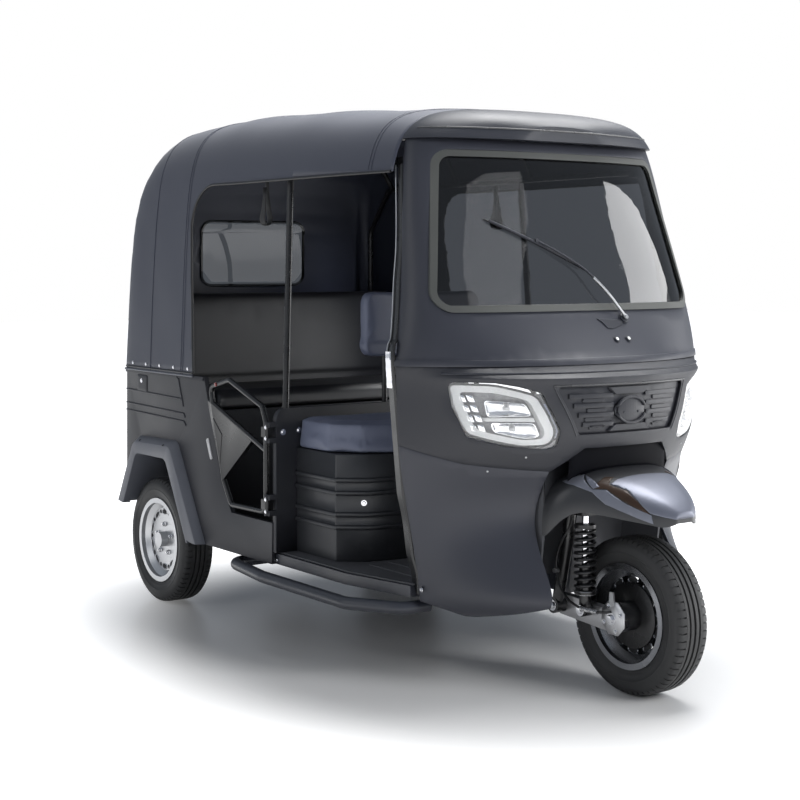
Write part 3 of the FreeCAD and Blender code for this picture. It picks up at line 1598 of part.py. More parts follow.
def grab_poles():
    """Poles from the partition up to the side rails."""
    start = V(partition_x - partition_wall / 2, -pole_foot_half, partition_top_z)
    end = V(pole_top_x, -side_rail_half(pole_top_x), bow_side_z)
    pole = rod(start - (end - start) / 10, end, pole_radius)
    pole = pole.common(block(-half_length, half_length, -half_length, 0, partition_top_z + seat_gap,
                             overall_length))
    rail = rod(V(bow_front_x, bow_front_taper - bow_half, bow_side_z),
               V(bow_rear_top_x, -bow_half, bow_side_z), bow_radius + seat_gap)
    return both(max(pole.cut(rail).Solids, key=lambda solid: solid.Volume))


def dashboard():
    """Shelf across the nose, notched for the steering stem."""
    levels = [lamp, brow, ridge, scuttle]
    inset = nose_wall + seat_gap + dash_gap
    inside = fuse([nose_fill([low, high], inset) for low, high in zip(levels, levels[1:])])
    body = block(dash_back_x, half_length, -dash_half, dash_half, dash_low_z, dash_high_z).common(inside)
    return body.cut(block(0, dash_notch_x, -dash_notch_half, dash_notch_half, 0, half_length))


def door(side_sign):
    """Half door: a tube loop with a brace and a moulded panel, and its halves of the hinges."""
    y = -body_half - door_out
    loop = [(door_rear_x, door_rear_z), (door_crown_x, door_crown_z), (door_shoulder_x, door_shoulder_z),
            (door_front_x, door_front_high_z), (door_front_x, door_front_low_z),
            (door_heel_x, door_heel_z), (door_waist_x, door_waist_z)]
    tube = pipe([V(x, y, z) for x, z in loop], door_bend, door_tube_radius, True)
    brace = rod(V(door_panel_rear_x + door_out, y, door_panel_rear_z),
                V(door_front_x, y, door_brace_front_z), door_tube_radius)
    triangle = [(door_panel_rear_x, door_panel_rear_z), (door_panel_front_x, door_panel_front_z),
                (door_waist_x, door_waist_z)]
    panel = through_y(triangle, 0, y - door_panel_half, y + door_panel_half)
    pieces = [tube, brace, panel]
    y0, y1 = -hinge_y - hinge_leaf / 2, -hinge_y + hinge_leaf / 2
    bores = []
    for z in (hinge_high_z, hinge_low_z):
        low, high = z - knuckle_height / 2, z + knuckle_height / 2
        pin = V(hinge_x, -hinge_y, low)
        pieces.append(Part.makeCylinder(knuckle_radius, high - low, pin))
        pieces.append(block(door_front_x, hinge_x, y0, y1, low, high))
        pieces.append(block(door_front_x - hinge_leaf, door_front_x + hinge_leaf, y0, y, low, high))
        bores.append(Part.makeCylinder(hinge_pin_radius + bearing_gap, high - low, pin))
    leaf = fuse(pieces)
    for bore in bores:
        leaf = leaf.cut(bore)
    return leaf if side_sign < 0 else mirrored(leaf)


def wiper():
    """Wiper arm and blade lying on the windscreen."""
    run = wiper_tip_y - wiper_y
    rise = wiper_tip_z - wiper_root_z
    points = [(wiper_y + run * share, wiper_root_z + rise * share) for share in (0, wiper_elbow_share, 1)]
    places = [V(nose_x(COWL, y, z) + wiper_lift, y, z) for y, z in points]
    boss = rod(places[0] - V(2 * wiper_lift, 0, 0), places[0] + V(wiper_radius, 0, 0), wiper_boss_radius)
    boss = boss.cut(nose_fill(COWL, -2 * seat_gap))
    arms = [rod(a, b, wiper_radius) for a, b in zip(places, places[1:])]
    joint = Part.makeSphere(wiper_radius, places[1])
    return fuse([boss, joint] + arms)


centre_front = V(front_axle_x, 0, tyre_radius)
centre_right = V(rear_axle_x, -rear_wheel_y, tyre_radius)
centre_left = V(rear_axle_x, rear_wheel_y, tyre_radius)

export("chassis_frame", chassis_frame())
export("frame_outriggers", *side_frames())
export("steering_head", steering_head())
export("floor_pan", floor_pan())
export("nose_cowl", nose_cowl())
export("windscreen_seal", windscreen_seal())
export("windscreen", windscreen())
export("wiper", wiper())
export("nose_fascia", front_fascia())
export("grille_panel", grille_panel())
export("headlamps", *(headlamp_lenses() + headlamp_bowls()))
export("leg_shield", leg_shield())
export("front_mudguard", front_mudguard())
export("roof_cap", roof_cap())
export("canopy", canopy())
export("rear_window", rear_window())
export("canopy_bows", canopy_bows())
export("rear_body", rear_body())
export("wheel_flares", *wheel_flares())
export("tail_hatch", tail_hatch())
export("tail_lamps", *tail_lamps())
export("partition", partition())
export("engine_cover", engine_cover())
export("engine", engine())
export("driver_seat", driver_seat())
export("driver_backrest", driver_backrest())
export("bench_base", bench_base())
export("bench_cushion", bench_cushion())
export("bench_back", bench_back())
export("grab_poles", *grab_poles())
export("dashboard", dashboard())
export("rear_axle", rear_axle())
export("leaf_springs", *leaf_springs())
export("steering_fork", steering_fork())
export("leading_arm", leading_arm())
export("front_damper", front_damper())
export("handlebar", handlebar())
export("brake_cable", brake_cable())
export("front_rim", wheel_rim(centre_front, False))
export("front_tyre", tyre(centre_front))
export("rear_rim_right", wheel_rim(centre_right, True))
export("rear_rim_left", wheel_rim(centre_left, False))
export("rear_tyre_right", tyre(centre_right))
export("rear_tyre_left", tyre(centre_left))
export("door_right", door(-1))
export("door_left", door(1))
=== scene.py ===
import math

import bmesh
import bpy
from mathutils import Matrix, Vector


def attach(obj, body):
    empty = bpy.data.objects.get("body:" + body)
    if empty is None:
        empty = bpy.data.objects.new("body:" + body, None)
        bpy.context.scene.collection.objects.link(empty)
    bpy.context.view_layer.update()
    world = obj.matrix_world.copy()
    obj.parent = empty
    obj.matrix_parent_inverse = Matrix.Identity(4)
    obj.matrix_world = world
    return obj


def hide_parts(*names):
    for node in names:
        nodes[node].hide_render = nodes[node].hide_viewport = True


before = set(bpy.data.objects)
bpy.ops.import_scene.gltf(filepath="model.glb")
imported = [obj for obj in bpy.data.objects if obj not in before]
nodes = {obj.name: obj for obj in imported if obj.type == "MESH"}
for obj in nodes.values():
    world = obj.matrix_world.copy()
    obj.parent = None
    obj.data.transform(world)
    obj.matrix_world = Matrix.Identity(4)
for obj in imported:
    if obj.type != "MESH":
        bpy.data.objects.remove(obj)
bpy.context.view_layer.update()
scene = bpy.context.scene


# Camera
# A long lens at the height of the windscreen's foot, level, with the picture shifted down to
# take in the whole vehicle.
def placed(name, data):
    """A new object in the scene that shows a mesh, a lamp or a camera."""
    made = bpy.data.objects.new(name, data)
    scene.collection.objects.link(made)
    return made


picture_width = 800
principal_x, principal_y = 407.23, 264.01
focal_pixels = 1579.71
camera_place = Vector((4.738, -3.514, 1.3566))
camera_turn = math.radians(54.385)
camera_data = bpy.data.cameras.new("camera")
camera_data.sensor_width = 36.0
camera_data.lens = camera_data.sensor_width * focal_pixels / picture_width
camera_data.shift_x = 0.5 - principal_x / picture_width
camera_data.shift_y = principal_y / picture_width - 0.5
camera_data.clip_end = 100.0
camera = placed("camera", camera_data)
camera.location = camera_place
camera.rotation_euler = (math.pi / 2, 0.0, camera_turn)
scene.camera = camera


up, ahead, astern = Vector((0, 0, 1)), Vector((1, 0, 0)), Vector((-1, 0, 0))
to_left, to_right = Vector((0, 1, 0)), Vector((0, -1, 0))


def hit(node, start, aim, must=True):
    """The point and normal where a ray first meets a CAD node. Without must, a miss gives None."""
    found, place, normal, _ = nodes[node].ray_cast(Vector(start), aim)
    if found:
        return place, normal
    if must:
        raise ValueError("nothing of %s from %s" % (node, tuple(start)))
    return None


def seen(node, px, py):
    """The point and normal of a CAD node where the picture shows it."""
    look_ahead = Vector((-math.sin(camera_turn), math.cos(camera_turn), 0.0))
    look_right = Vector((math.cos(camera_turn), math.sin(camera_turn), 0.0))
    right, above = (px - principal_x) / focal_pixels, (principal_y - py) / focal_pixels
    return hit(node, camera_place, (look_ahead + look_right * right + Vector((0, 0, above))).normalized())


def on_front(node, y, z):
    """The point and normal of a CAD node seen from straight ahead."""
    return hit(node, (3.0, y, z), astern)


# Studio
# A pale floor in a white surround that reflections see darker, three soft lamps, and a card that
# only shows as a reflection in glass and paint.
def add(tree, kind, inputs=None, **settings):
    """A new node. Each input is a value, a socket, or a node whose first output feeds it."""
    made = tree.nodes.new(kind)
    for key, value in settings.items():
        setattr(made, key, value)
    for key, value in (inputs or {}).items():
        if isinstance(value, bpy.types.Node):
            value = value.outputs[0]
        if isinstance(value, bpy.types.NodeSocket):
            tree.links.new(value, made.inputs[key])
        else:
            made.inputs[key].default_value = value
    return made


def node_material(name):
    """A new material with its nodes cleared, and its tree."""
    made = bpy.data.materials.new(name)
    made.use_nodes = True
    made.node_tree.nodes.clear()
    return made, made.node_tree


def shown_to_rays(tree):
    """A mask that is 1 for camera, glossy and transmission rays."""
    path = add(tree, "ShaderNodeLightPath")
    last = path.outputs["Is Camera Ray"]
    for ray in ("Is Glossy Ray", "Is Transmission Ray"):
        last = add(tree, "ShaderNodeMath", {0: last, 1: path.outputs[ray]}, operation="MAXIMUM")
    return last


world = bpy.data.worlds.new("studio")
scene.world = world
world.use_nodes = True
sky = world.node_tree
sky.nodes.clear()
sky_fill, sky_gloss, sky_white = (
    add(sky, "ShaderNodeBackground", {"Color": colour + (1.0,), "Strength": strength})
    for colour, strength in (((0.9, 0.94, 1.0), 0.3), ((0.8, 0.88, 1.0), 0.46), ((1.0, 1.0, 1.0), 1.0)))
sky_path = add(sky, "ShaderNodeLightPath")
sky_back = add(sky, "ShaderNodeMixShader", {0: sky_path.outputs["Is Glossy Ray"], 1: sky_white, 2: sky_gloss})
sky_mix = add(sky, "ShaderNodeMixShader", {0: shown_to_rays(sky), 1: sky_fill, 2: sky_back})
add(sky, "ShaderNodeOutputWorld", {"Surface": sky_mix})

floor_half = 30.0
floor_mesh = bpy.data.meshes.new("studio_floor")
floor_mesh.from_pydata([(x * floor_half, y * floor_half, 0) for x, y in ((-1, -1), (1, -1), (1, 1), (-1, 1))],
                       [], [(0, 1, 2, 3)])
floor = placed("studio_floor", floor_mesh)
floor_paint, floor_tree = node_material("studio_floor")
# Painted shadow: the floor's white glow fades out in an oval under the vehicle, so the floor there shows only its
# lamp-lit shade and reads darker than the floor round it.
shadow_half_length, shadow_half_width = 1.62, 1.08
floor_place = add(floor_tree, "ShaderNodeTexCoord")
shadow_oval = add(floor_tree, "ShaderNodeVectorMath",
                 {0: floor_place.outputs["Object"], 2: (-0.14, 0.06, 0.0),
                  1: (1.0 / shadow_half_length, 1.0 / shadow_half_width, 0.0)}, operation="MULTIPLY_ADD")
shadow_reach = add(floor_tree, "ShaderNodeVectorMath", {0: shadow_oval}, operation="LENGTH")
painted_shadow_ramp = add(floor_tree, "ShaderNodeMapRange", {"From Min": 0.72, "From Max": 1.36,
                                                    "Value": shadow_reach.outputs["Value"]},
                 interpolation_type="SMOOTHSTEP")
floor_level = add(floor_tree, "ShaderNodeMath", {0: shown_to_rays(floor_tree), 1: painted_shadow_ramp},
                  operation="MULTIPLY")
floor_matt = add(floor_tree, "ShaderNodeBsdfPrincipled",
                 {"Base Color": (0.82, 0.82, 0.82, 1.0), "Roughness": 0.32, "Specular IOR Level": 0.35})
floor_glow = add(floor_tree, "ShaderNodeEmission", {"Strength": floor_level})
floor_sum = add(floor_tree, "ShaderNodeAddShader", {0: floor_matt, 1: floor_glow})
add(floor_tree, "ShaderNodeOutputMaterial", {"Surface": floor_sum})
floor_mesh.materials.append(floor_paint)

scene.view_settings.view_transform = "Standard"
for name, place, target, size, watts, turn, hidden in (
        ("top_lamp", (0.2, 1.3, 4.6), (0.1, 0.0, 0.9), 3.0, 270.0, 0.0, ""),
        ("front_lamp", (5.8, 1.8, 3.4), (0.6, 0.0, 0.9), 2.6, 250.0, 0.0, "visible_glossy"),
        ("right_card", (4.4, 7.8, 1.9), (0.9, 0.0, 1.3), 4.8, 480.0, -30.0, "visible_diffuse"),
        ("side_lamp", (-0.6, -6.5, 3.4), (-0.2, 0.0, 0.9), 3.2, 40.0, 0.0, "")):
    lamp_data = bpy.data.lights.new(name, "AREA")
    lamp_data.size = size
    lamp_data.energy = watts
    lamp = placed(name, lamp_data)
    lamp.location = place
    lamp_aim = (Vector(target) - Vector(place)).to_track_quat("-Z", "Y").to_matrix()
    lamp.rotation_euler = (lamp_aim @ Matrix.Rotation(math.radians(turn), 3, "Z")).to_euler()
    if hidden:
        setattr(lamp, hidden, False)


# Frame
# Welded steel rails, outriggers and step bars in black chassis paint. The finish is a satin coat
# with a fine grain and a broad, faint change of tone.
def grain_group():
    """The shader group that gives a broad tone and a fine grain over a surface."""
    group = bpy.data.node_groups.new("surface grain", "ShaderNodeTree")
    for name, way in (("Tone Scale", "INPUT"), ("Grain Scale", "INPUT"), ("Tone", "OUTPUT"),
                      ("Grain", "OUTPUT")):
        group.interface.new_socket(name, in_out=way, socket_type="NodeSocketFloat")
    start, end = group.nodes.new("NodeGroupInput"), group.nodes.new("NodeGroupOutput")
    place = add(group, "ShaderNodeTexCoord").outputs["Object"]
    for output, detail in (("Tone", 4.0), ("Grain", 2.0)):
        noise = add(group, "ShaderNodeTexNoise",
                    {"Vector": place, "Scale": start.outputs[output + " Scale"], "Detail": detail})
        group.links.new(noise.outputs["Fac"], end.inputs[output])
    return group


surface_grain = grain_group()


def shade(colour, factor):
    """A colour made lighter or darker."""
    return tuple(min(1.0, channel * factor) for channel in colour) + (1.0,)


def finish(name, colour, rough, spread=0.12, tone=3.0, grain=900.0, bump=0.08, depth=0.0004, **sockets):
    """A material whose colour, roughness and height vary with the surface grain."""
    made, tree = node_material(name)
    source = add(tree, "ShaderNodeGroup", {"Tone Scale": tone, "Grain Scale": grain}, node_tree=surface_grain)
    mix = add(tree, "ShaderNodeMix", {0: source.outputs["Tone"], 6: shade(colour, 1 - spread),
                                      7: shade(colour, 1 + spread)}, data_type="RGBA")
    span = add(tree, "ShaderNodeMapRange", {"From Min": 0.3, "From Max": 0.7, "To Min": rough[0],
                                            "To Max": rough[1], "Value": source.outputs["Tone"]})
    relief = add(tree, "ShaderNodeBump", {"Strength": bump, "Distance": depth,
                                          "Height": source.outputs["Grain"]})
    inputs = {"Base Color": mix.outputs[2], "Roughness": span, "Normal": relief}
    inputs.update((key.replace("_", " "), value) for key, value in sockets.items())
    add(tree, "ShaderNodeOutputMaterial", {"Surface": add(tree, "ShaderNodeBsdfPrincipled", inputs)})
    return made


weld_reach = 0.00002
eased_angle, split_angle = math.radians(40), math.radians(32)


def dress(material, *names, edge=0.0):
    """Gives CAD nodes a material and even shading, with their sharp edges eased by a width."""
    for name in names:
        piece = nodes[name]
        piece.data.materials.clear()
        piece.data.materials.append(material)
        for face in piece.data.polygons:
            face.use_smooth = True
        piece.modifiers.new("weld", "WELD").merge_threshold = weld_reach
        if edge:
            ease = piece.modifiers.new("ease", "BEVEL")
            ease.width = edge
            ease.segments = 2
            ease.limit_method = "ANGLE"
            ease.angle_limit = eased_angle
            ease.harden_normals = True
        else:
            piece.modifiers.new("split", "EDGE_SPLIT").split_angle = split_angle


chassis_black = finish("chassis_black", (0.032, 0.035, 0.046), (0.3, 0.48), 0.25, 5.0, 500.0, 0.1)
dress(chassis_black, "chassis_frame", "frame_outriggers", "steering_head", "rear_axle", "leaf_springs")


# Tyres
# Three radial tyres of black rubber on 12 inch rims. Each is a moulded carcass with bead rings
# and scuff ribs on its sides, under a tread of shoulder blocks and two cut ribs.
def new_piece(name, mesh, material, smooth=35.0, body="body"):
    """Links a mesh as a finished piece that rides on a body."""
    piece = placed(name, mesh)
    mesh.materials.clear()
    mesh.materials.append(material)
    if smooth:
        mesh.shade_smooth()
        mesh.set_sharp_from_angle(angle=math.radians(smooth))
    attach(piece, body)
    return piece


def opened(*meshes):
    """A form to edit that holds some meshes."""
    form = bmesh.new()
    for mesh in meshes:
        form.from_mesh(mesh)
    return form


def closed_up(form, name="made"):
    """An edited form as a mesh."""
    mesh = bpy.data.meshes.new(name)
    form.to_mesh(mesh)
    form.free()
    return mesh


def mesh_of(rows, closed=False, ends=0):
    """A mesh skinned over rows of points. closed joins each row's ends, and the last row (ends 1)
    or both outer rows (ends 2) are filled."""
    form = bmesh.new()
    grid = [[form.verts.new(point) for point in row] for row in rows]
    count = len(rows[0])
    for low, high in zip(grid, grid[1:]):
        for i in range(count if closed else count - 1):
            j = (i + 1) % count
            form.faces.new((low[i], low[j], high[j], high[i]))
    if ends > 1:
        form.faces.new(list(reversed(grid[0])))
    if ends:
        form.faces.new(grid[-1])
    bmesh.ops.recalc_face_normals(form, faces=form.faces)
    return closed_up(form)


def turned(profile, centre, steps):
    """A closed ring mesh, turned about an axis along Y from (radius, offset) points."""
    angles = [2 * math.pi * step / steps for step in range(steps + 1)]
    form = opened(mesh_of([[Vector((r * math.cos(a), offset, r * math.sin(a))) + centre
                            for r, offset in profile] for a in angles], closed=True))
    bmesh.ops.remove_doubles(form, verts=form.verts, dist=0.00001)
    bmesh.ops.recalc_face_normals(form, faces=form.faces)
    return closed_up(form)


def baked(piece):
    """The evaluated shape of an object as a plain mesh. The object is removed."""
    bpy.context.view_layer.update()
    shape = piece.evaluated_get(bpy.context.evaluated_depsgraph_get())
    mesh = bpy.data.meshes.new_from_object(shape)
    bpy.data.objects.remove(piece)
    return mesh


def grown(tree, source, material, name, body, smooth=35.0, **sizes):
    """Runs a geometry tree on a mesh and keeps the result as a plain piece."""
    base = placed(name, source)
    change = base.modifiers.new("grow", "NODES")
    change.node_group = tree
    values = dict(sizes, Material=material)
    for item in tree.interface.items_tree:
        if item.in_out == "INPUT" and item.name in values:
            change[item.identifier] = values[item.name]
    return new_piece(name, baked(base), material, smooth, body)


def tree_of(name, **sizes):
    """A geometry tree with named inputs, and its input and output nodes."""
    tree = bpy.data.node_groups.new(name, "GeometryNodeTree")
    tree.interface.new_socket("Geometry", in_out="INPUT", socket_type="NodeSocketGeometry")
    for size, kind in dict(sizes, Material="Material").items():
        tree.interface.new_socket(size, in_out="INPUT", socket_type="NodeSocket" + kind)
    tree.interface.new_socket("Geometry", in_out="OUTPUT", socket_type="NodeSocketGeometry")
    return tree, tree.nodes.new("NodeGroupInput"), tree.nodes.new("NodeGroupOutput")


def ended(tree, start, end, last):
    """A geometry tree with its copies made real and given the material."""
    real = add(tree, "GeometryNodeRealizeInstances", {0: last})
    paint = add(tree, "GeometryNodeSetMaterial", {"Geometry": real, "Material": start.outputs["Material"]})
    tree.links.new(paint.outputs[0], end.inputs[0])
    return tree


def ring_tree():
    """Copies of a piece set evenly round an axis along Y."""
    tree, start, end = tree_of("copies round an axis", Piece="Object", Count="Int", Centre="Vector")
    line = add(tree, "GeometryNodeMeshLine", {"Offset": (0, 0, 0), "Count": start.outputs["Count"],
                                              "Start Location": start.outputs["Centre"]})
    index = add(tree, "GeometryNodeInputIndex")
    share = add(tree, "ShaderNodeMath", {0: index, 1: start.outputs["Count"]}, operation="DIVIDE")
    angle = add(tree, "ShaderNodeMath", {0: share, 1: 2 * math.pi}, operation="MULTIPLY")
    spin = add(tree, "ShaderNodeCombineXYZ", {"Y": angle})
    piece = add(tree, "GeometryNodeObjectInfo", {"Object": start.outputs["Piece"]})
    copies = add(tree, "GeometryNodeInstanceOnPoints", {"Points": line, "Rotation": spin,
                                                        "Instance": piece.outputs["Geometry"]})
    return ended(tree, start, end, copies)


copies_round = ring_tree()


def ring_of(name, seed, count, centre, material, body):
    """Copies of a seed piece set evenly round an axle."""
    blank = bpy.data.meshes.new("blank")
    blank.from_pydata([(0, 0, 0)], [], [])
    return grown(copies_round, blank, material, name, body, Piece=seed, Count=count, Centre=centre)


def seed_piece(name, mesh):
    """A piece for a geometry tree to copy. It isn't shown itself."""
    seed = bpy.data.objects.new(name, mesh)
    mesh.shade_smooth()
    mesh.set_sharp_from_angle(angle=math.radians(40))
    return seed


tyre_radius = 0.247
front_axle_x, rear_axle_x, rear_wheel_y = 1.093, -1.017, 0.565
wheel_places = {"front": (Vector((front_axle_x, 0, tyre_radius)), "front_wheel"),
                "right": (Vector((rear_axle_x, -rear_wheel_y, tyre_radius)), "rear_wheel_right"),
                "left": (Vector((rear_axle_x, rear_wheel_y, tyre_radius)), "rear_wheel_left")}
tyre_rubber = finish("tyre_rubber", (0.036, 0.0362, 0.037), (0.46, 0.64), 0.3, 9.0, 700.0, 0.22, 0.0006,
                     Specular_IOR_Level=0.35)
carcass_half = [(0.1535, 0.04), (0.1535, 0.052), (0.1605, 0.056), (0.169, 0.0572), (0.172, 0.0592),
                (0.1735, 0.06), (0.1755, 0.06), (0.177, 0.0612), (0.186, 0.064), (0.199, 0.0664),
                (0.2, 0.0674), (0.202, 0.0675), (0.203, 0.0668), (0.212, 0.0672), (0.222, 0.0655),
                (0.229, 0.0625), (0.236, 0.057), (0.2405, 0.052), (0.241, 0.036), (0.2435, 0.0355),
                (0.2463, 0.0345), (0.2466, 0.024), (0.2462, 0.0235), (0.2395, 0.0225), (0.2395, 0.0175),
                (0.2466, 0.0165), (0.247, 0.0045), (0.24, 0.0035)]
carcass = carcass_half + [(r, -a) for r, a in reversed(carcass_half)]
shoulder_profile = [(0.2325, 0.0612), (0.238, 0.0585), (0.2428, 0.054), (0.2452, 0.048), (0.2464, 0.035),
                    (0.239, 0.035)]
sipe_profile = [(0.2405, 0.0242), (0.2469, 0.0242), (0.2469, 0.0345), (0.2405, 0.0345)]
tread_blocks = 64
block_span = 2 * math.pi / tread_blocks * 0.8


def arc_block(profile, span, steps=2):
    """A block of tread over a short arc, centred above the axle."""
    angles = [math.pi / 2 - span / 2 + span * step / steps for step in range(steps + 1)]
    return mesh_of([[Vector((r * math.cos(angle), a, r * math.sin(angle))) for r, a in profile]
                    for angle in angles], closed=True, ends=2)


tread_seeds = [seed_piece("tread_block", arc_block([(r, way * a) for r, a in profile], span))
               for profile, span in ((shoulder_profile, block_span), (sipe_profile, block_span * 0.9))
               for way in (1, -1)]
for side, (centre, body) in wheel_places.items():
    rings = [turned(carcass, centre, 128)]
    for seed in tread_seeds:
        part = ring_of("tread", seed, tread_blocks, centre, tyre_rubber, body)
        rings.append(part.data)
        bpy.data.objects.remove(part)
    tyre = new_piece("tyre_" + side, closed_up(opened(*rings), "tyre_" + side), tyre_rubber,
                     body=body)
    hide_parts("front_tyre" if side == "front" else "rear_tyre_" + side)


# Rims
# Pressed steel wheels, silver at the back and dark at the front. Stamped oval windows with rolled edges ring the
# disc, each window a near-black oval laid on the disc, painted shade in place of an opening, and five nuts hold
# it.
silver_steel = finish("silver_steel", (0.5, 0.505, 0.515), (0.26, 0.42), 0.08, 7.0, 1500.0, 0.05,
                      Metallic=0.85)
dark_steel = finish("dark_steel", (0.26, 0.265, 0.28), (0.16, 0.28), 0.15, 7.0, bump=0.06, Metallic=0.9)
polished_steel = finish("polished_steel", (0.62, 0.62, 0.63), (0.14, 0.26), 0.05, 9.0, 2000.0, 0.03,
                        Metallic=1.0)
# Near-black painted shade for the rim windows, which are ovals on the disc, not openings.
painted_window_shade = finish("painted_window_shade", (0.006, 0.006, 0.007), (0.6, 0.8))
dress(silver_steel, "rear_rim_right", "rear_rim_left")
dress(dark_steel, "front_rim")
window_count, window_steps, nut_count = 10, 20, 5
window_radius, window_half_width, window_half_height = 0.1105, 0.0195, 0.0082
nut_circle, nut_flat, nut_height = 0.06, 0.0085, 0.012
disc_face, front_outer_face = 0.0302, 0.0238


def window_mesh(rings, ends):
    """Rings of (height off the disc, growth or share of the size) as the form of one oval window."""
    rows = []
    for lift, grow, share in rings:
        row = []
        for step in range(window_steps):
            angle = 2 * math.pi * step / window_steps
            along = (window_half_width * share + grow) * math.cos(angle) / window_radius
            out = window_radius + (window_half_height * share + grow) * math.sin(angle)
            row.append(Vector((out * math.sin(along), lift, out * math.cos(along))))
        rows.append(row)
    return mesh_of(rows, closed=True, ends=ends)


def nut_mesh(sign, base):
    """A cone-seat wheel nut on the disc."""
    return mesh_of([[Vector((radius * math.cos(math.pi * k / 3), sign * (base + rise),
                             nut_circle + radius * math.sin(math.pi * k / 3))) for k in range(6)]
                    for radius, rise in (
                        (nut_flat * 1.25, 0.0), (nut_flat * 1.25, 0.002), (nut_flat, 0.0035),
                        (nut_flat, nut_height - 0.002), (nut_flat * 0.8, nut_height),
                        (nut_flat * 0.45, nut_height), (nut_flat * 0.42, nut_height + 0.0025))],
                   closed=True, ends=2)


lip_rings = [(0.0, 0.004), (0.0016, 0.0032), (0.0024, 0.002), (0.0016, 0.0006), (0.0004, 0.0),
             (0.0002, 0.0012), (0.0, 0.004)]
for side, sign in (("front", -1), ("front", 1), ("right", -1), ("left", 1)):
    centre, body = wheel_places[side]
    steel = dark_steel if side == "front" else silver_steel
    outer_front = side == "front" and sign < 0
    face = front_outer_face if outer_front else disc_face
    painted_opening = window_mesh([(sign * face, 0.0, 1.0), (sign * (face + 0.0006), -0.0012, 1.0),
                          (sign * (face + 0.0007), 0.0, 0.4)], 2)
    lip = window_mesh([(sign * (face + rise), grow, 1.0) for rise, grow in lip_rings], 0)
    seeds = [("rim_window_", painted_opening, painted_window_shade, window_count), ("rim_window_lip_", lip, steel, window_count)]
    if not outer_front:
        seeds.append(("wheel_nut_", nut_mesh(sign, face), polished_steel, nut_count))
    suffix = side + ("_in" if side == "front" and sign > 0 else "")
    for name, mesh, material, count in seeds:
        ring_of(name + suffix, seed_piece(name, mesh), count, centre, material, body)


# Front suspension and brake
# A single black fork leg on the right carries a cast alloy leading arm. A damper inside a black
# coil spring stands on it between chrome bolts, and an alloy flange closes the drum brake.
suspension_black = finish("suspension_black", (0.01, 0.01, 0.011), (0.22, 0.38), 0.2, 12.0, 1200.0, 0.06)
cast_alloy = finish("cast_alloy", (0.52, 0.52, 0.53), (0.3, 0.46), 0.12, 14.0, 1800.0, 0.3, 0.0005,
                    Metallic=1.0)
chrome = finish("chrome", (0.72, 0.72, 0.74), (0.07, 0.14), 0.04, 9.0, bump=0.01, Metallic=1.0)
cable_black = finish("cable_black", (0.012, 0.012, 0.013), (0.4, 0.55), tone=20.0)
dress(suspension_black, "steering_fork", "front_damper")
dress(cast_alloy, "leading_arm", edge=0.002)
arm_mesh = nodes["leading_arm"].data
arm_mesh.materials.append(suspension_black)
brake_plate_y = -0.0895
for face in arm_mesh.polygons:
    if face.center.y > brake_plate_y:
        face.material_index = 1
dress(cable_black, "brake_cable")


def bead_tree():
    """A round bead along the edges of a mesh."""
    tree, start, end = tree_of("bead along edges", Radius="Float", Facets="Int")
    path = add(tree, "GeometryNodeMeshToCurve", {"Mesh": start.outputs["Geometry"]})
    ring = add(tree, "GeometryNodeCurvePrimitiveCircle", {"Radius": start.outputs["Radius"],
                                                          "Resolution": start.outputs["Facets"]})
    sweep = add(tree, "GeometryNodeCurveToMesh", {"Fill Caps": True, "Curve": path, "Profile Curve": ring})
    return ended(tree, start, end, sweep)


bead_along = bead_tree()


def bead(name, paths, radius, material, facets=8, body="body", closed=False):
    """Round beads along lists of points, as one piece."""
    points, edges = [], []
    for path in paths:
        first = len(points)
        points += [tuple(point) for point in path]
        edges += [(first + i, first + i + 1) for i in range(len(path) - 1)]
        if closed:
            edges.append((first + len(path) - 1, first))
    mesh = bpy.data.meshes.new(name)
    mesh.from_pydata(points, edges, [])
    return grown(bead_along, mesh, material, name, body, 60.0, Radius=radius, Facets=facets)


def spots_tree():
    """Copies of a piece on points, each with its Z axis along the point's direction."""
    tree, start, end = tree_of("copies on spots", Piece="Object", Scale="Float")
    direction = add(tree, "GeometryNodeInputNamedAttribute", {"Name": "aim"}, data_type="FLOAT_VECTOR")
    aim = add(tree, "FunctionNodeAlignRotationToVector", {"Vector": direction}, axis="Z")
    piece = add(tree, "GeometryNodeObjectInfo", {"Object": start.outputs["Piece"]})
    copies = add(tree, "GeometryNodeInstanceOnPoints",
                 {"Points": start.outputs["Geometry"], "Instance": piece.outputs["Geometry"],
                  "Rotation": aim, "Scale": start.outputs["Scale"]})
    return ended(tree, start, end, copies)


copies_on_spots = spots_tree()


def ring(radius, z, count):
    """Points evenly round the Z axis."""
    angles = [2 * math.pi * k / count for k in range(count)]
    return [Vector((radius * math.cos(angle), radius * math.sin(angle), z)) for angle in angles]


def screw_seed(height, sides, washer):
    """A screw head on its washer, standing on Z = 0, for a tree to copy."""
    radius = 0.0075
    plate = mesh_of([ring(radius * washer, z, 24) for z in (-0.001, 0.0008, 0.0012)], closed=True, ends=2)
    head = mesh_of([ring(radius * share, z, sides) for share, z in (
        (1.0, 0.0008), (1.0, height * 0.75), (0.82, height), (0.4, height * 1.02))], closed=True, ends=2)
    return seed_piece("screw", closed_up(opened(plate, head)))


hex_seed, round_seed = screw_seed(0.006, 6, 1.5), screw_seed(0.004, 16, 1.25)


def screws(name, spots, material, scale, body="body", seed=round_seed):
    """Screws on places of a body, each along its direction."""
    mesh = bpy.data.meshes.new("spots")
    mesh.from_pydata([place for place, _ in spots], [], [])
    aim = mesh.attributes.new("aim", "FLOAT_VECTOR", "POINT")
    for i, (_, direction) in enumerate(spots):
        aim.data[i].vector = direction
    return grown(copies_on_spots, mesh, material, name, body, Piece=seed, Scale=scale)


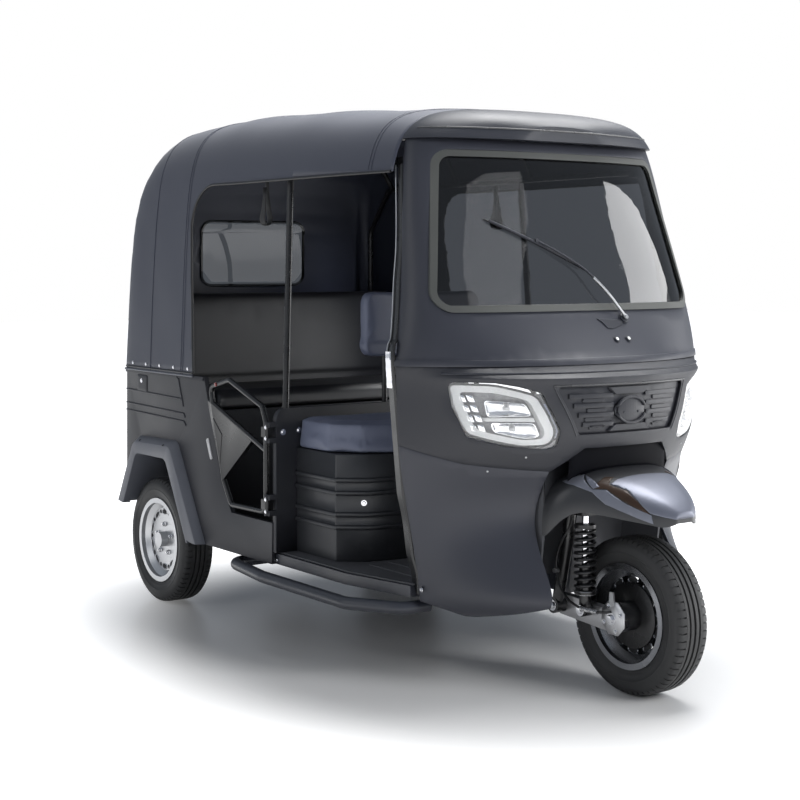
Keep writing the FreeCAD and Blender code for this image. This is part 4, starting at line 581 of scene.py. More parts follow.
def bolts(name, spots, material, scale, body="body"):
    """Hexagon bolts on places of a body."""
    return screws(name, spots, material, scale, body, hex_seed)


damper_x, damper_y = 0.985, -0.13


def upright(radius, facets, name, material, *spans):
    """Round parts of the damper, each from one height to another on its axis."""
    return bead(name, [[(damper_x, damper_y, z) for z in span] for span in spans], radius, material, facets,
                "steering")


bolts("suspension_bolts", [(Vector((damper_x, -0.1512, 0.258)), to_right),
                           (Vector((0.852, -0.1512, 0.252)), to_right)], chrome, 1.6, "steering")
bolts("crown_bolt", [(Vector((damper_x, damper_y, 0.584)), up)], chrome, 1.5, "steering")
collar = turned([(0.0335, -0.006), (0.0345, -0.004), (0.0345, 0.004), (0.0335, 0.006), (0.0325, 0.006),
                 (0.0325, -0.006)], Vector((0, 0, 0)), 48)
collar.transform(Matrix.Translation((damper_x, damper_y, 0.314)) @ Matrix.Rotation(math.pi / 2, 4, "X"))
new_piece("spring_collar", collar, silver_steel, body="steering")
spring_turns, spring_low, spring_high, spring_radius = 9.5, 0.32, 0.519, 0.0315
spring_steps = int(spring_turns * 24)
spring_path = []
for step in range(spring_steps + 1):
    share = step / (spring_turns * 24)
    angle = 2 * math.pi * spring_turns * share
    spring_path.append((damper_x + spring_radius * math.cos(angle), damper_y + spring_radius * math.sin(angle),
                        spring_low + (spring_high - spring_low) * share))
spring = bead("coil_spring", [spring_path], 0.0052, suspension_black, 10, "steering")
upright(0.019, 32, "damper_body", suspension_black, (0.262, 0.4))
upright(0.011, 24, "damper_rod", chrome, (0.4, 0.558))
upright(0.035, 40, "spring_caps", suspension_black, (0.519, 0.53), (0.31, 0.319))
eye = turned([(0.008, -0.02), (0.0185, -0.02), (0.0205, -0.017), (0.0205, 0.017), (0.0185, 0.02),
              (0.008, 0.02)], Vector((damper_x, -0.1309, 0.258)), 40)
new_piece("damper_eye", eye, suspension_black, body="steering")
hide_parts("front_damper")


def round_hub(radius, offset, count, start):
    """Points evenly round the front axle, at a place along it."""
    angles = [2 * math.pi * k / count + start for k in range(count)]
    return [Vector((front_axle_x + radius * math.cos(angle), offset,
                    tyre_radius + radius * math.sin(angle))) for angle in angles]


flange_rows = [round_hub(radius, offset, 8, math.pi / 8) for radius, offset in (
    (0.026, -0.118), (0.034, -0.1165), (0.052, -0.113), (0.056, -0.1105), (0.056, -0.1085))]
new_piece("hub_flange", mesh_of(flange_rows, closed=True, ends=2), cast_alloy, 25.0, "steering")
bolts("hub_flange_bolts", [(spot, to_right) for spot in round_hub(0.04, -0.1158, 4, 0.4)], chrome, 0.7,
      "steering")
bolts("axle_nut", [(Vector((front_axle_x, -0.1182, tyre_radius)), to_right)], chrome, 1.8, "steering")
lever = mesh_of([[Vector((x, y, z)) for x, y in ((near, outer), (far, outer), (far, outer + 0.006),
                                                 (near, outer + 0.006))]
                 for near, far, outer, z in ((1.075, 1.111, -0.112, 0.258), (1.083, 1.103, -0.118, 0.306),
                                             (1.086, 1.1, -0.119, 0.33))], closed=True, ends=2)
new_piece("brake_lever", lever, silver_steel, 30.0, "steering")
coil_steps, coil_turns, coil_radius = 160, 14, 0.0062
cable_coil = []
for k in range(coil_steps + 1):
    share, angle = k / coil_steps, 2 * math.pi * coil_turns * k / coil_steps
    cable_coil.append((1.0 + 0.068 * share, -0.1637 + 0.0115 * share + coil_radius * math.cos(angle),
                       0.2697 - 0.003 * share + coil_radius * math.sin(angle)))
bead("cable_spring", [cable_coil], 0.0013, polished_steel, 6, "steering")
bead("cable_clip", [[(0.888, -0.1595, 0.372), (0.888, -0.1765, 0.372)]], 0.0078, silver_steel, 16, "steering")


# Floor, engine cover and partition
# A rubber-faced steel floor with raised ribs. The engine cover is a moulded black box with
# pressed bands, and the partition a painted steel panel that bolts to the frame.
def flipped(point):
    """The same place on the other side of the vehicle."""
    return Vector((point[0], -point[1], point[2]))


def both_sides(spots):
    """Spots and their mirror images on the other side."""
    return list(spots) + [(flipped(place), flipped(aim)) for place, aim in spots]


floor_rubber = finish("floor_rubber", (0.07, 0.072, 0.08), (0.5, 0.7), 0.25, 6.0, 600.0, 0.3, 0.0006)
cover_black = finish("cover_black", (0.034, 0.036, 0.041), (0.38, 0.52), 0.15, 4.0, 1500.0, 0.25)
body_satin = finish("body_satin", (0.03, 0.032, 0.043), (0.38, 0.5), 0.08, 2.2, 2200.0, 0.14, 0.0003)
body_dark = finish("body_dark", (0.021, 0.022, 0.028), (0.46, 0.58), 0.1, 2.5, 2200.0, 0.14, 0.0003)
engine_iron = finish("engine_iron", (0.09, 0.09, 0.092), (0.5, 0.7), 0.3, 8.0, 400.0, 0.35, 0.001,
                     Metallic=0.6)
dress(floor_rubber, "floor_pan", edge=0.0015)
dress(cover_black, "engine_cover", "dashboard", edge=0.004)
dress(body_dark, "partition", edge=0.003)
dress(engine_iron, "engine", edge=0.008)
dress(cover_black, "bench_base", edge=0.003)
rib_z = 0.3305
rib_paths = []
for k in range(15):
    y = -0.56 + k * 0.08
    if abs(y) < 0.5:
        front_end = 0.6 if abs(y) < 0.27 else 0.7 if abs(y) < 0.44 else 0.62
        rib_paths.append([(0.285, y, rib_z), (front_end, y, rib_z)])
    rib_paths.append([(-0.56, y, rib_z), (-0.135, y, rib_z)])
bead("floor_ribs", rib_paths, 0.0035, floor_rubber)
bolts("partition_bolts", both_sides([(seen("partition", px, py)[0], ahead) for px, py in
                                     ((283, 432), (299, 430))]), chrome, 1.0)
bolts("cover_bolt", both_sides([seen("engine_cover", 364, 503)]), chrome, 0.9)


# Body shell
# Moulded nose parts and pressed rear panels in dark grey satin finishes. The seams between them
# stay open by a few millimetres, and their edges carry a bevel.
dress(body_satin, "nose_cowl", "leg_shield", edge=0.0015)
dress(body_dark, "nose_fascia", "grille_panel", edge=0.0015)
dress(body_dark, "rear_body", "tail_hatch", edge=0.003)
flare_black = finish("flare_black", (0.15, 0.158, 0.185), (0.4, 0.54), grain=1600.0, bump=0.3)
dress(flare_black, "wheel_flares", edge=0.004)
gloss_black = finish("gloss_black", (0.016, 0.018, 0.026), (0.44, 0.56), 0.15, bump=0.03)
seal_rubber = finish("seal_rubber", (0.07, 0.073, 0.07), (0.55, 0.7), tone=6.0, grain=800.0, bump=0.15)
dress(gloss_black, "roof_cap")
dress(seal_rubber, "windscreen_seal")


# Windscreen and rear window
# Laminated glass with a grey tint, set in its rubber section, and a clear sheet of tinted PVC
# welded into the back of the canopy.
def pane(name, tint):
    """A tinted clear material."""
    made, tree = node_material(name)
    add(tree, "ShaderNodeOutputMaterial", {"Surface": add(tree, "ShaderNodeBsdfPrincipled", {
        "Base Color": tint + (1.0,), "Roughness": 0.0, "Transmission Weight": 1.0, "IOR": 1.45})})
    return made


dress(pane("tinted_glass", (0.125, 0.125, 0.128)), "windscreen")
dress(pane("window_sheet", (0.15, 0.15, 0.152)), "rear_window")


# Headlamps
# Each lamp is a clear moulded cover over a white frame. A column of slanted lights stands at its
# outer side, and two bright reflectors sit beside it with a white bar between them.
lamp_white = finish("lamp_white", (0.88, 0.88, 0.87), (0.2, 0.32), 0.04, 20.0, bump=0.02)
lamp_black = finish("lamp_black", (0.015, 0.015, 0.016), (0.3, 0.45))
lamp_grey = finish("lamp_grey", (0.3, 0.3, 0.31), (0.2, 0.35), 0.4, 60.0, bump=0.1)
reflector = finish("reflector", (0.8, 0.8, 0.81), (0.06, 0.14), 0.04, 30.0, bump=0.02, Metallic=1.0)


def lamp_front(y, z, inset):
    """A point inside a headlamp, at a depth behind its cover. y is the distance to the right. A
    place off the cover takes the depth of the nearest place towards the lamp's middle."""
    for pull in (0.0, 0.024, 0.048, 0.08, 0.12, 0.18):
        spot = hit("headlamps", (3.0, -(y + (0.4 - y) * pull), z + (0.88 - z) * pull), astern, must=False)
        if spot:
            return Vector((spot[0].x - inset, -y, z))
    raise ValueError("no headlamp at %s, %s" % (y, z))


def rounded_loop(points, bend, steps=4):
    """A closed outline with its corners rounded."""
    result = []
    for i, corner in enumerate(points):
        corner = Vector(corner)
        before, after = Vector(points[i - 1]) - corner, Vector(points[(i + 1) % len(points)]) - corner
        reach = min(bend, before.length * 0.45, after.length * 0.45)
        start, end = corner + before.normalized() * reach, corner + after.normalized() * reach
        for step in range(steps + 1):
            t = step / steps
            result.append(start * (1 - t) ** 2 + corner * 2 * t * (1 - t) + end * t * t)
    return result


def scaled_loop(points, share):
    """An outline drawn in towards its middle by a share."""
    middle = sum((Vector(p) for p in points), Vector((0, 0))) / len(points)
    return [middle + (Vector(p) - middle) * share for p in points]


def paired(paths):
    """Paths of points on the right and their mirror images."""
    return list(paths) + [[flipped(point) for point in path] for path in paths]


def on_both_sides(name, rows, material, smooth, ends=2):
    """A piece skinned over closed rows of points on the right, and its mirror image."""
    right, left = (mesh_of(half, closed=True, ends=ends) for half in (rows, paired(rows)[len(rows):]))
    return new_piece(name, closed_up(opened(right, left), name), material, smooth)


def lamp_form(name, outline, depths, material, bend=0.01):
    """A dish or boss in both headlamps, from an outline of (y, z) and its (share, depth) rings."""
    loop = rounded_loop(outline, bend)
    rows = [[lamp_front(p[0], p[1], depth) for p in scaled_loop(loop, share)] for share, depth in depths]
    return on_both_sides(name, rows, material, 40.0, 1)


lamp_outline = [(0.541, 0.986), (0.489, 0.985), (0.433, 0.983), (0.376, 0.968), (0.33, 0.953),
                (0.316, 0.941), (0.29, 0.892), (0.264, 0.84), (0.264, 0.812), (0.273, 0.791),
                (0.292, 0.785), (0.354, 0.783), (0.404, 0.794), (0.451, 0.807), (0.485, 0.819),
                (0.497, 0.828), (0.513, 0.862), (0.528, 0.909)]
lamp_form("headlamp_trays", lamp_outline, ((0.995, 0.011), (0.995, 0.034), (0.96, 0.036), (0.3, 0.036)),
          lamp_grey)
lamp_form("headlamp_housings", lamp_outline, ((0.985, 0.037), (0.985, 0.066), (0.9, 0.074), (0.4, 0.076)),
          lamp_black)
frame_loop = rounded_loop([(0.533, 0.979), (0.489, 0.978), (0.436, 0.976), (0.38, 0.961), (0.334, 0.946),
                           (0.321, 0.935), (0.296, 0.89), (0.271, 0.838), (0.271, 0.816), (0.279, 0.798),
                           (0.295, 0.792), (0.352, 0.79), (0.402, 0.801), (0.447, 0.813), (0.478, 0.825),
                           (0.489, 0.834), (0.505, 0.864), (0.519, 0.909)], 0.012)
inner_loop = rounded_loop([(0.512, 0.958), (0.47, 0.957), (0.432, 0.955), (0.382, 0.943), (0.349, 0.932),
                           (0.339, 0.921), (0.32, 0.88), (0.298, 0.838), (0.296, 0.822), (0.303, 0.812),
                           (0.312, 0.81), (0.352, 0.808), (0.396, 0.818), (0.437, 0.829), (0.462, 0.838),
                           (0.472, 0.846), (0.484, 0.87), (0.497, 0.909)], 0.012)
on_both_sides("headlamp_frames", [[lamp_front(p[0], p[1], depth) for p in loop] for loop, depth in (
    (frame_loop, 0.033), (frame_loop, 0.013), (inner_loop, 0.013), (inner_loop, 0.033), (frame_loop, 0.033))],
              lamp_white, 40.0, 0)
dish = ((1.0, 0.016), (0.95, 0.016), (0.9, 0.021), (0.78, 0.03), (0.5, 0.0345), (0.22, 0.035))
lamp_form("headlamp_reflectors_high", [(0.455, 0.932), (0.352, 0.921), (0.334, 0.883), (0.446, 0.879)],
          dish, reflector, 0.012)
lamp_form("headlamp_reflectors_low", [(0.438, 0.862), (0.326, 0.86), (0.308, 0.822), (0.318, 0.814),
                                      (0.352, 0.812), (0.428, 0.832)], dish, reflector, 0.012)
lamp_form("headlamp_bars", [(0.457, 0.877), (0.33, 0.878), (0.325, 0.864), (0.45, 0.866)],
          ((1.0, 0.034), (1.0, 0.014), (0.9, 0.012)), lamp_white, 0.004)
for row in range(4):
    for column in range(2):
        top, out = 0.949 - row * 0.031, 0.515 - row * 0.0095 - column * 0.019
        lamp_form("headlamp_light_%d_%d" % (row, column),
                  [(out, top), (out - 0.015, top - 0.002), (out - 0.022, top - 0.024), (out - 0.007, top - 0.022)],
                  ((1.0, 0.033), (1.0, 0.015), (0.8, 0.013)), reflector, 0.003)
bulb = ((1.0, 0.034), (0.9, 0.024), (0.5, 0.02))
lamp_form("headlamp_bulbs_high", [(0.402, 0.913), (0.388, 0.911), (0.386, 0.899), (0.4, 0.901)], bulb,
          lamp_white, 0.005)
lamp_form("headlamp_bulbs_low", [(0.384, 0.847), (0.37, 0.845), (0.368, 0.833), (0.382, 0.835)], bulb,
          lamp_white, 0.005)
shell = opened(nodes["headlamps"].data)
bmesh.ops.remove_doubles(shell, verts=shell.verts, dist=weld_reach)
cover_least_x = 1.009
waiting = set(shell.verts)
while waiting:
    island = [waiting.pop()]
    for vert in island:
        linked = {other for edge in vert.link_edges for other in edge.verts} & waiting
        waiting -= linked
        island.extend(linked)
    if max(vert.co.x for vert in island) < cover_least_x:
        bmesh.ops.delete(shell, geom=island, context="VERTS")
lamp_covers = new_piece("headlamp_covers", closed_up(shell, "headlamp_covers"),
                        pane("lens_clear", (0.97, 0.975, 0.98)), 30.0)
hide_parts("headlamps")


# Canopy
# One coated cloth cover drawn tight over steel bows, with sewn seams behind the side openings,
# cord piping round each opening, a hem buttoned over the belt rail and faint ripples in its sides.
cloth_blue_black = finish("cloth_blue_black", (0.036, 0.042, 0.068), (0.44, 0.6), 0.1, 1.6, 2600.0, 0.2,
                          0.0003, Sheen_Weight=0.25)
piping_black = finish("piping_black", (0.01, 0.01, 0.011), (0.35, 0.5))
tail_x, canopy_front, canopy_base, crown_top, canopy_half = -1.34, 0.552, 0.9253, 1.945, 0.638
section_shares = ((1.0, 0.0), (0.985, 0.3165), (0.962, 0.5626), (0.94, 0.7078), (0.9216, 0.7794),
                  (0.8966, 0.8343), (0.8558, 0.8873), (0.7915, 0.9314), (0.69, 0.9657),
                  (0.533, 0.9873), (0.282, 0.998), (0.0, 1.0))
station_shares = ((0.0, 0.878, 0.564), (0.0042, 0.94, 0.672), (0.0127, 0.975, 0.76), (0.0264, 0.991, 0.826),
                  (0.045, 0.998, 0.879), (0.0687, 1.0, 0.919), (0.1, 1.0, 0.953), (0.137, 1.0, 0.9735),
                  (0.19, 1.0, 0.987), (0.248, 1.0, 0.995), (0.308, 1.0, 0.998), (0.391, 1.0, 1.0),
                  (0.47, 1.0, 0.998), (0.55, 1.0, 0.993), (0.629, 1.0, 0.986), (0.708, 1.0, 0.978),
                  (0.787, 0.997, 0.9685), (0.867, 0.991, 0.958), (0.9355, 0.983, 0.9475),
                  (1.0, 0.972, 0.9363))


def smooth_through(points, count):
    """Evenly spaced points on a soft curve through the given ones."""
    spans = []
    padded = [points[0] * 2 - points[1]] + list(points) + [points[-1] * 2 - points[-2]]
    for a, b, c, d in zip(padded, padded[1:], padded[2:], padded[3:]):
        for step in range(16):
            t = step / 16
            spans.append(((b * 2) + (c - a) * t + (a * 2 - b * 5 + c * 4 - d) * t * t
                          + (b * 3 - a - c * 3 + d) * t ** 3) / 2)
    spans.append(points[-1])
    lengths = [0.0]
    for low, high in zip(spans, spans[1:]):
        lengths.append(lengths[-1] + (high - low).length)
    result, k = [], 0
    for i in range(count):
        target = lengths[-1] * i / (count - 1)
        while k < len(lengths) - 2 and lengths[k + 1] < target:
            k += 1
        share = (target - lengths[k]) / max(lengths[k + 1] - lengths[k], 1e-9)
        result.append(spans[k].lerp(spans[k + 1], min(max(share, 0.0), 1.0)))
    return result


width_scale = 0.3
section_line = smooth_through([Vector((u, v, 0)) for u, v in section_shares], 52)
station_line = smooth_through([Vector((u, v * width_scale, w)) for u, v, w in station_shares], 120)
bow_places = (0.43, -0.0667, -0.5633, -1.06)


def canopy_point(station, section, side, inset=0.0):
    """A point of the canopy, which sags between its bows, ripples on its sides and folds towards
    the tail. side is -1 on the right and 1 on the left."""
    x = tail_x + (canopy_front - tail_x) * station.x
    half = canopy_half * station.y / width_scale - inset
    crown = canopy_base + (crown_top - canopy_base) * station.z - inset
    height = section.y
    place = Vector((x + inset * (1 - station.x), side * half * section.x,
                    canopy_base + (crown - canopy_base) * height))
    slack = min(min(abs(x - bow) for bow in bow_places) / 0.2, 1.0)
    slack = slack * slack * (3 - 2 * slack)
    place.z -= 0.0055 * slack * max(0.0, height - 0.86) / 0.14
    ripple = math.sin(x * 21.0 + place.z * 9.0) * 0.0014 + math.sin(x * 8.0 - place.z * 5.0) * 0.0022
    place.y -= side * (0.0025 + ripple) * min(1.0, height * 4) * max(0.0, 0.9 - height)
    tail = max(0.0, 1 - (x - tail_x) / 0.42)
    fold = math.sin((place.z - 1.3) * 34.0 + place.x * 26.0) * 0.0045 * tail * max(0.0, height - 0.35)
    place.y -= side * (abs(fold) + fold) * 0.6
    place.x += (abs(fold) + 0.001) * tail
    return place


def canopy_line(station, inset=0.0):
    """A line of points over the canopy from hem to hem."""
    right, left = ([canopy_point(station, section, side, inset) for section in section_line] for side in (-1, 1))
    return right + left[-2::-1]


def is_inside(a, b, outline):
    """Whether a place lies inside a closed outline."""
    crossings = 0
    for (ax, ay), (bx, by) in zip(outline, outline[1:] + outline[:1]):
        if (ay > b) != (by > b) and a < ax + (b - ay) / (by - ay) * (bx - ax):
            crossings += 1
    return crossings % 2 == 1


cut_reach = 0.00005


def cut_out(sheet, outline, axis, taken):
    """Cuts an outline of (x or y, z) through the faces of a sheet that taken picks. axis is 0 for
    an outline in x and 1 for one in y."""
    def spot_of(face):
        middle = face.calc_center_median()
        return Vector((middle[axis], middle.z)) if taken(middle) else None

    for first, second in zip(outline, outline[1:] + outline[:1]):
        start, end = Vector(first), Vector(second)
        along = (end - start).normalized()
        touched = set()
        for face in sheet.faces:
            spot = spot_of(face)
            if spot is None:
                continue
            offset = spot - start
            reach = min(max(offset.dot(along), 0.0), (end - start).length)
            if (offset - along * reach).length < 0.05:
                touched.update([face], face.verts, face.edges)
        place, across = Vector((0.0, 0.0, start.y)), Vector((0.0, 0.0, -along.x))
        place[axis], across[axis] = start.x, along.y
        bmesh.ops.bisect_plane(sheet, geom=list(touched), plane_co=place, plane_no=across, dist=cut_reach)
    spots = [(face, spot_of(face)) for face in sheet.faces]
    gone = [face for face, spot in spots if spot is not None and is_inside(spot.x, spot.y, outline)]
    bmesh.ops.delete(sheet, geom=gone, context="FACES")


def thicken(piece, name, thickness, offset=-1.0):
    """Gives a sheet its thickness."""
    wall = piece.modifiers.new(name, "SOLIDIFY")
    wall.thickness = thickness
    wall.offset = offset


rows = [canopy_line(station) for station in station_line]
sheet = opened(mesh_of(rows))
sheet.verts.ensure_lookup_table()
previous = [sheet.verts[i] for i in range(len(rows[0]))]
tail_places = [vert.co.copy() for vert in previous]
tail_rings = 12
for ring_number in range(1, tail_rings + 1):
    share = 1 - ring_number / tail_rings
    following = [sheet.verts.new((p.x - 0.004 * (1 - share) * (1 - share), p.y * share, p.z))
                 for p in tail_places]
    for i in range(len(previous) - 1):
        sheet.faces.new((previous[i], previous[i + 1], following[i + 1], following[i]))
    previous = following
bmesh.ops.remove_doubles(sheet, verts=sheet.verts, dist=0.0004)
bmesh.ops.recalc_face_normals(sheet, faces=sheet.faces)
door_rear, door_front, door_foot, door_top, door_bend = (-0.69, -0.762), 0.7, 0.8, 1.658, 0.15
door_low = Vector((door_rear[0] - door_rear[1], door_foot - door_top)).normalized()
door_across = Vector((1.0, 0.0))
door_half = door_low.angle(door_across) / 2
door_corner = Vector((door_rear[1], door_top))
bend_centre = door_corner + (door_low + door_across).normalized() * door_bend / math.sin(door_half)
bend_start = door_corner + door_low * door_bend / math.tan(door_half) - bend_centre
bend_turn = bend_start.angle_signed(door_corner + door_across * door_bend / math.tan(door_half) - bend_centre)
door_outline, bend_steps = [], 9
for step in range(bend_steps + 1):
    cos, sin = math.cos(bend_turn * step / bend_steps), math.sin(bend_turn * step / bend_steps)
    spun = Vector((bend_start.x * cos + bend_start.y * sin, -bend_start.x * sin + bend_start.y * cos))
    door_outline.append(tuple(bend_centre + spun))
door_hole = [(door_rear[0], door_foot)] + door_outline + [(door_front, door_top), (door_front, door_foot)]
window_corner = 0.048
window_outline = []
for y, z, turn in ((-0.262, 1.262, 180), (0.262, 1.262, 270), (0.262, 1.545, 0), (-0.262, 1.545, 90)):
    for step in range(7):
        angle = math.radians(turn + step * 15)
        window_outline.append((y - window_corner * (1 if y > 0 else -1) + window_corner * math.cos(angle),
                               z - window_corner * (1 if z > 1.4 else -1) + window_corner * math.sin(angle)))
cut_out(sheet, door_hole, 0, lambda middle: middle.y < -0.3)
cut_out(sheet, door_hole, 0, lambda middle: middle.y > 0.3)
cut_out(sheet, window_outline, 1, lambda middle: middle.x < -1.16)
canopy_cloth = new_piece("canopy_cloth", closed_up(sheet, "canopy_cloth"), cloth_blue_black, 50.0)
thicken(canopy_cloth, "thickness", 0.002)
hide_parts("canopy")


# Front mudguard
# A fixed beak over the front wheel. Its dome and side bars carry a blue-grey metallic paint, its cheeks are satin,
# and a dark strip lies along each side. Its neck carries a near-black, almost unreflecting skin, a painted dark
# reflection of the cowl above it, and a panel of the same black closes the space behind the beak as painted shade.
beak_satin = finish("beak_satin", (0.022, 0.023, 0.026), (0.3, 0.42), 0.1, 3.0, 2200.0, 0.12, 0.0003)
# Near-black with almost no reflection: painted shade and painted dark reflection, for the beak's neck and the
# panel behind the beak.
painted_shade_black = finish("painted_shade_black", (0.004, 0.0042, 0.006), (0.55, 0.65), 0.2, 5.0, bump=0.03,
                    Specular_IOR_Level=0.06)
beak_paint = finish("beak_paint", (0.155, 0.165, 0.205), (0.42, 0.5), 0.05, 2.0, bump=0.02, Metallic=0.6,
                    Coat_Weight=0.25, Coat_Roughness=0.25)
beak_fin = finish("beak_fin", (0.16, 0.17, 0.205), (0.36, 0.44), 0.06, bump=0.05, Metallic=0.4)
marker_amber = finish("marker_amber", (0.034, 0.019, 0.012), (0.26, 0.38), 0.5, 14.0, bump=0.02,
                      Specular_IOR_Level=0.3)
dress(beak_satin, "front_mudguard")
mudguard_middle_z = 0.45


def panel_on_mudguard(name, outline, lift, wall, material, least=0.0):
    """A thin panel on the mudguard, cut out along an outline of (x, z) on both sides. It keeps
    clear of the middle by least."""
    skin = opened(nodes["front_mudguard"].data)
    bmesh.ops.remove_doubles(skin, verts=skin.verts, dist=weld_reach)
    inward = []
    for face in skin.faces:
        spot = face.calc_center_median()
        if face.normal.dot(Vector((0.0, spot.y, spot.z - mudguard_middle_z))) < 0.0:
            inward.append(face)
    bmesh.ops.delete(skin, geom=inward, context="FACES")
    planes = []
    for first, second in zip(outline, outline[1:] + outline[:1]):
        along = (Vector(second) - Vector(first)).normalized()
        planes.append(((first[0], 0.0, first[1]), (along.y, 0.0, -along.x)))
    if least:
        planes += [((0.0, y, 0.0), to_left) for y in (-least, least)]
    for place, across in planes:
        bmesh.ops.bisect_plane(skin, geom=skin.verts[:] + skin.edges[:] + skin.faces[:], dist=cut_reach,
                               plane_co=place, plane_no=across)
    outside = []
    for face in skin.faces:
        spot = face.calc_center_median()
        if abs(spot.y) < least or not is_inside(spot.x, spot.z, outline):
            outside.append(face)
    bmesh.ops.delete(skin, geom=outside, context="FACES")
    bmesh.ops.remove_doubles(skin, verts=skin.verts, dist=0.00008)
    skin.normal_update()
    for vert in skin.verts:
        vert.co += vert.normal * lift
    thicken(new_piece(name, closed_up(skin, name), material, 30.0), "wall", wall)


panel_on_mudguard("beak_dome", [(1.07, 0.8), (1.1135, 0.695), (1.1135, 0.672), (1.165, 0.657), (1.205, 0.629),
                                (1.243, 0.593), (1.4, 0.54), (1.4, 0.8)], 0.0016, 0.0014, beak_paint)
# The neck skin paints the dark reflection of the cowl that the neck shows.
panel_on_mudguard("beak_neck", [(0.94, 0.8), (0.94, 0.69), (1.022, 0.694), (1.05, 0.735), (1.1115, 0.704),
                                (1.1125, 0.695), (1.069, 0.8)], 0.0012, 0.001, painted_shade_black)
panel_on_mudguard("beak_markers", [(1.081, 0.69), (1.081, 0.658), (1.115, 0.6575), (1.179, 0.6205),
                                   (1.241, 0.5905), (1.243, 0.591), (1.205, 0.627), (1.165, 0.655),
                                   (1.1115, 0.67), (1.098, 0.69)], 0.001, 0.001, marker_amber)
panel_on_mudguard("beak_bars", [(1.05, 0.735), (1.024, 0.697), (1.079, 0.657), (1.1115, 0.672),
                                (1.1115, 0.704)], 0.003, 0.0028, beak_paint, 0.168)
panel_on_mudguard("beak_fins", [(0.968, 0.67), (1.022, 0.694), (1.078, 0.655), (1.115, 0.655), (1.179, 0.618),
                                (1.246, 0.588), (1.252, 0.561), (1.192, 0.586), (1.122, 0.613), (1.079, 0.647),
                                (1.022, 0.664)], 0.0012, 0.0012, beak_fin)
# A near-black sheet across the gap under the fascia, painted shade where the space behind the beak lies in shadow.
shade_panel_rows, shade_panel_half_width = [], 0.222
for k in range(25):
    y = shade_panel_half_width * (k / 12 - 1)
    roof = on_front("nose_fascia", y * 0.92, 0.806)[0]
    low = hit("front_mudguard", (roof.x - 0.034, y * 0.95, 1.2), -up)[0] - up * 0.006
    high = Vector((roof.x - 0.026, y * 0.92, 0.812))
    shade_panel_rows.append([high.lerp(low, step / 10) for step in range(11)])
thicken(new_piece("hood_panel", mesh_of(shade_panel_rows), painted_shade_black, 50.0), "wall", 0.0025, 0.0)


# Grille and nose trim
# The pressed grille has a bead along its rim, raised bars, stepped tabs above and below, and a
# bare oval boss with a ring. The cowl's drip moulding sits on a black rubber strip.
def fascia_path(first, last, lift, steps):
    """Points along a straight run from one (y, z) to another on the nose fascia, lifted off it."""
    (ya, za), (yb, zb) = first, last
    return [on_front("nose_fascia", ya + (yb - ya) * step / steps, za + (zb - za) * step / steps)[0]
            + ahead * lift for step in range(steps + 1)]


def front_block(name, node, outline, lift, material):
    """A low raised block on the front of a CAD node, over an outline of (y, z)."""
    rows = []
    for share, height in ((1.0, -0.004), (1.0, lift * 0.6), (0.94, lift), (0.5, lift), (0.02, lift)):
        rows.append([(on_front(node, y, z)[0].x + height, y, z)
                     for y, z in rounded_loop(scaled_loop(outline, share), 0.004 * share, 3)])
    new_piece(name, mesh_of(rows, closed=True, ends=1), material, 30.0)


# A dark glossy grey: the grille's rim trim, and on the roof cap a painted highlight line.
trim_and_highlight_grey = finish("trim_and_highlight_grey", (0.06, 0.061, 0.064), (0.22, 0.32), 0.06, 5.0, bump=0.04)
bead("grille_rim", [fascia_path((-0.284, 0.9765), (0.284, 0.9765), 0.0005, 26)], 0.003, trim_and_highlight_grey)
bead("grille_sides", [fascia_path((side * 0.2835, 0.974), (side * 0.206, 0.817), 0.0002, 12)
                      for side in (-1, 1)], 0.0022, body_dark)
for name, top_z, foot_z, top, foot in (("high", 0.967, 0.944, 0.088, 0.064),
                                       ("low", 0.849, 0.828, 0.066, 0.092)):
    front_block("grille_tab_" + name, "grille_panel", [(-top, top_z), (-foot, foot_z), (foot, foot_z),
                                                       (top, top_z)], 0.01, body_dark)
for row, (z, inner, outer) in enumerate(((0.928, 0.105, 0.185), (0.896, 0.098, 0.17), (0.868, 0.104, 0.178),
                                         (0.842, 0.106, 0.16))):
    for side, place_name in ((-1, "right"), (1, "left")):
        front_block("grille_bar_%d_%s" % (row, place_name), "grille_panel",
                    [(side * inner, z + 0.006), (side * outer, z + 0.006), (side * outer, z - 0.006),
                     (side * inner, z - 0.006)], 0.0045, body_dark)
boss_z, boss_half_width, boss_half_height, ring_share = 0.893, 0.06, 0.041, 0.94
boss_ring = []
for k in range(64):
    y = boss_half_width * math.cos(2 * math.pi * k / 64)
    rise = boss_half_height * math.sin(2 * math.pi * k / 64)
    place = on_front("grille_panel", y * ring_share, boss_z + rise * ring_share)[0]
    boss_ring.append((place.x + 0.0012, y, boss_z + rise))
bead("badge_ring", [boss_ring], 0.0052, body_dark, 10, closed=True)
screws("badge_studs", [(on_front("grille_panel", y, 0.886)[0] + ahead * 0.0004, ahead) for y in (-0.03, 0.03)],
       gloss_black, 0.42)
bead("drip_strip", [fascia_path((-0.56, 1.0145), (0.56, 1.0145), 0.0012, 48)], 0.0042, gloss_black)
screws("fascia_screws", both_sides([seen("leg_shield", 487.5, 471.5), seen("nose_fascia", 526.0, 457.5)]),
       silver_steel, 0.36)
nozzle_spots = [seen("nose_cowl", 616.5, 339.5), seen("nose_cowl", 628.0, 339.0)]
screws("washer_mounts", nozzle_spots, gloss_black, 1.35)
screws("washer_nozzles", [(place + normal * 0.004, normal) for place, normal in nozzle_spots], lamp_white, 0.8)
bracket_spots = [seen("nose_cowl", px, py)[0] for px, py in
                 ((596.0, 318.5), (622.0, 319.5), (621.5, 325.0), (612.5, 328.5), (607.0, 328.0), (602.0, 322.5))]
front_block("wiper_bracket", "nose_cowl", [(spot.y, spot.z) for spot in bracket_spots], 0.004, gloss_black)


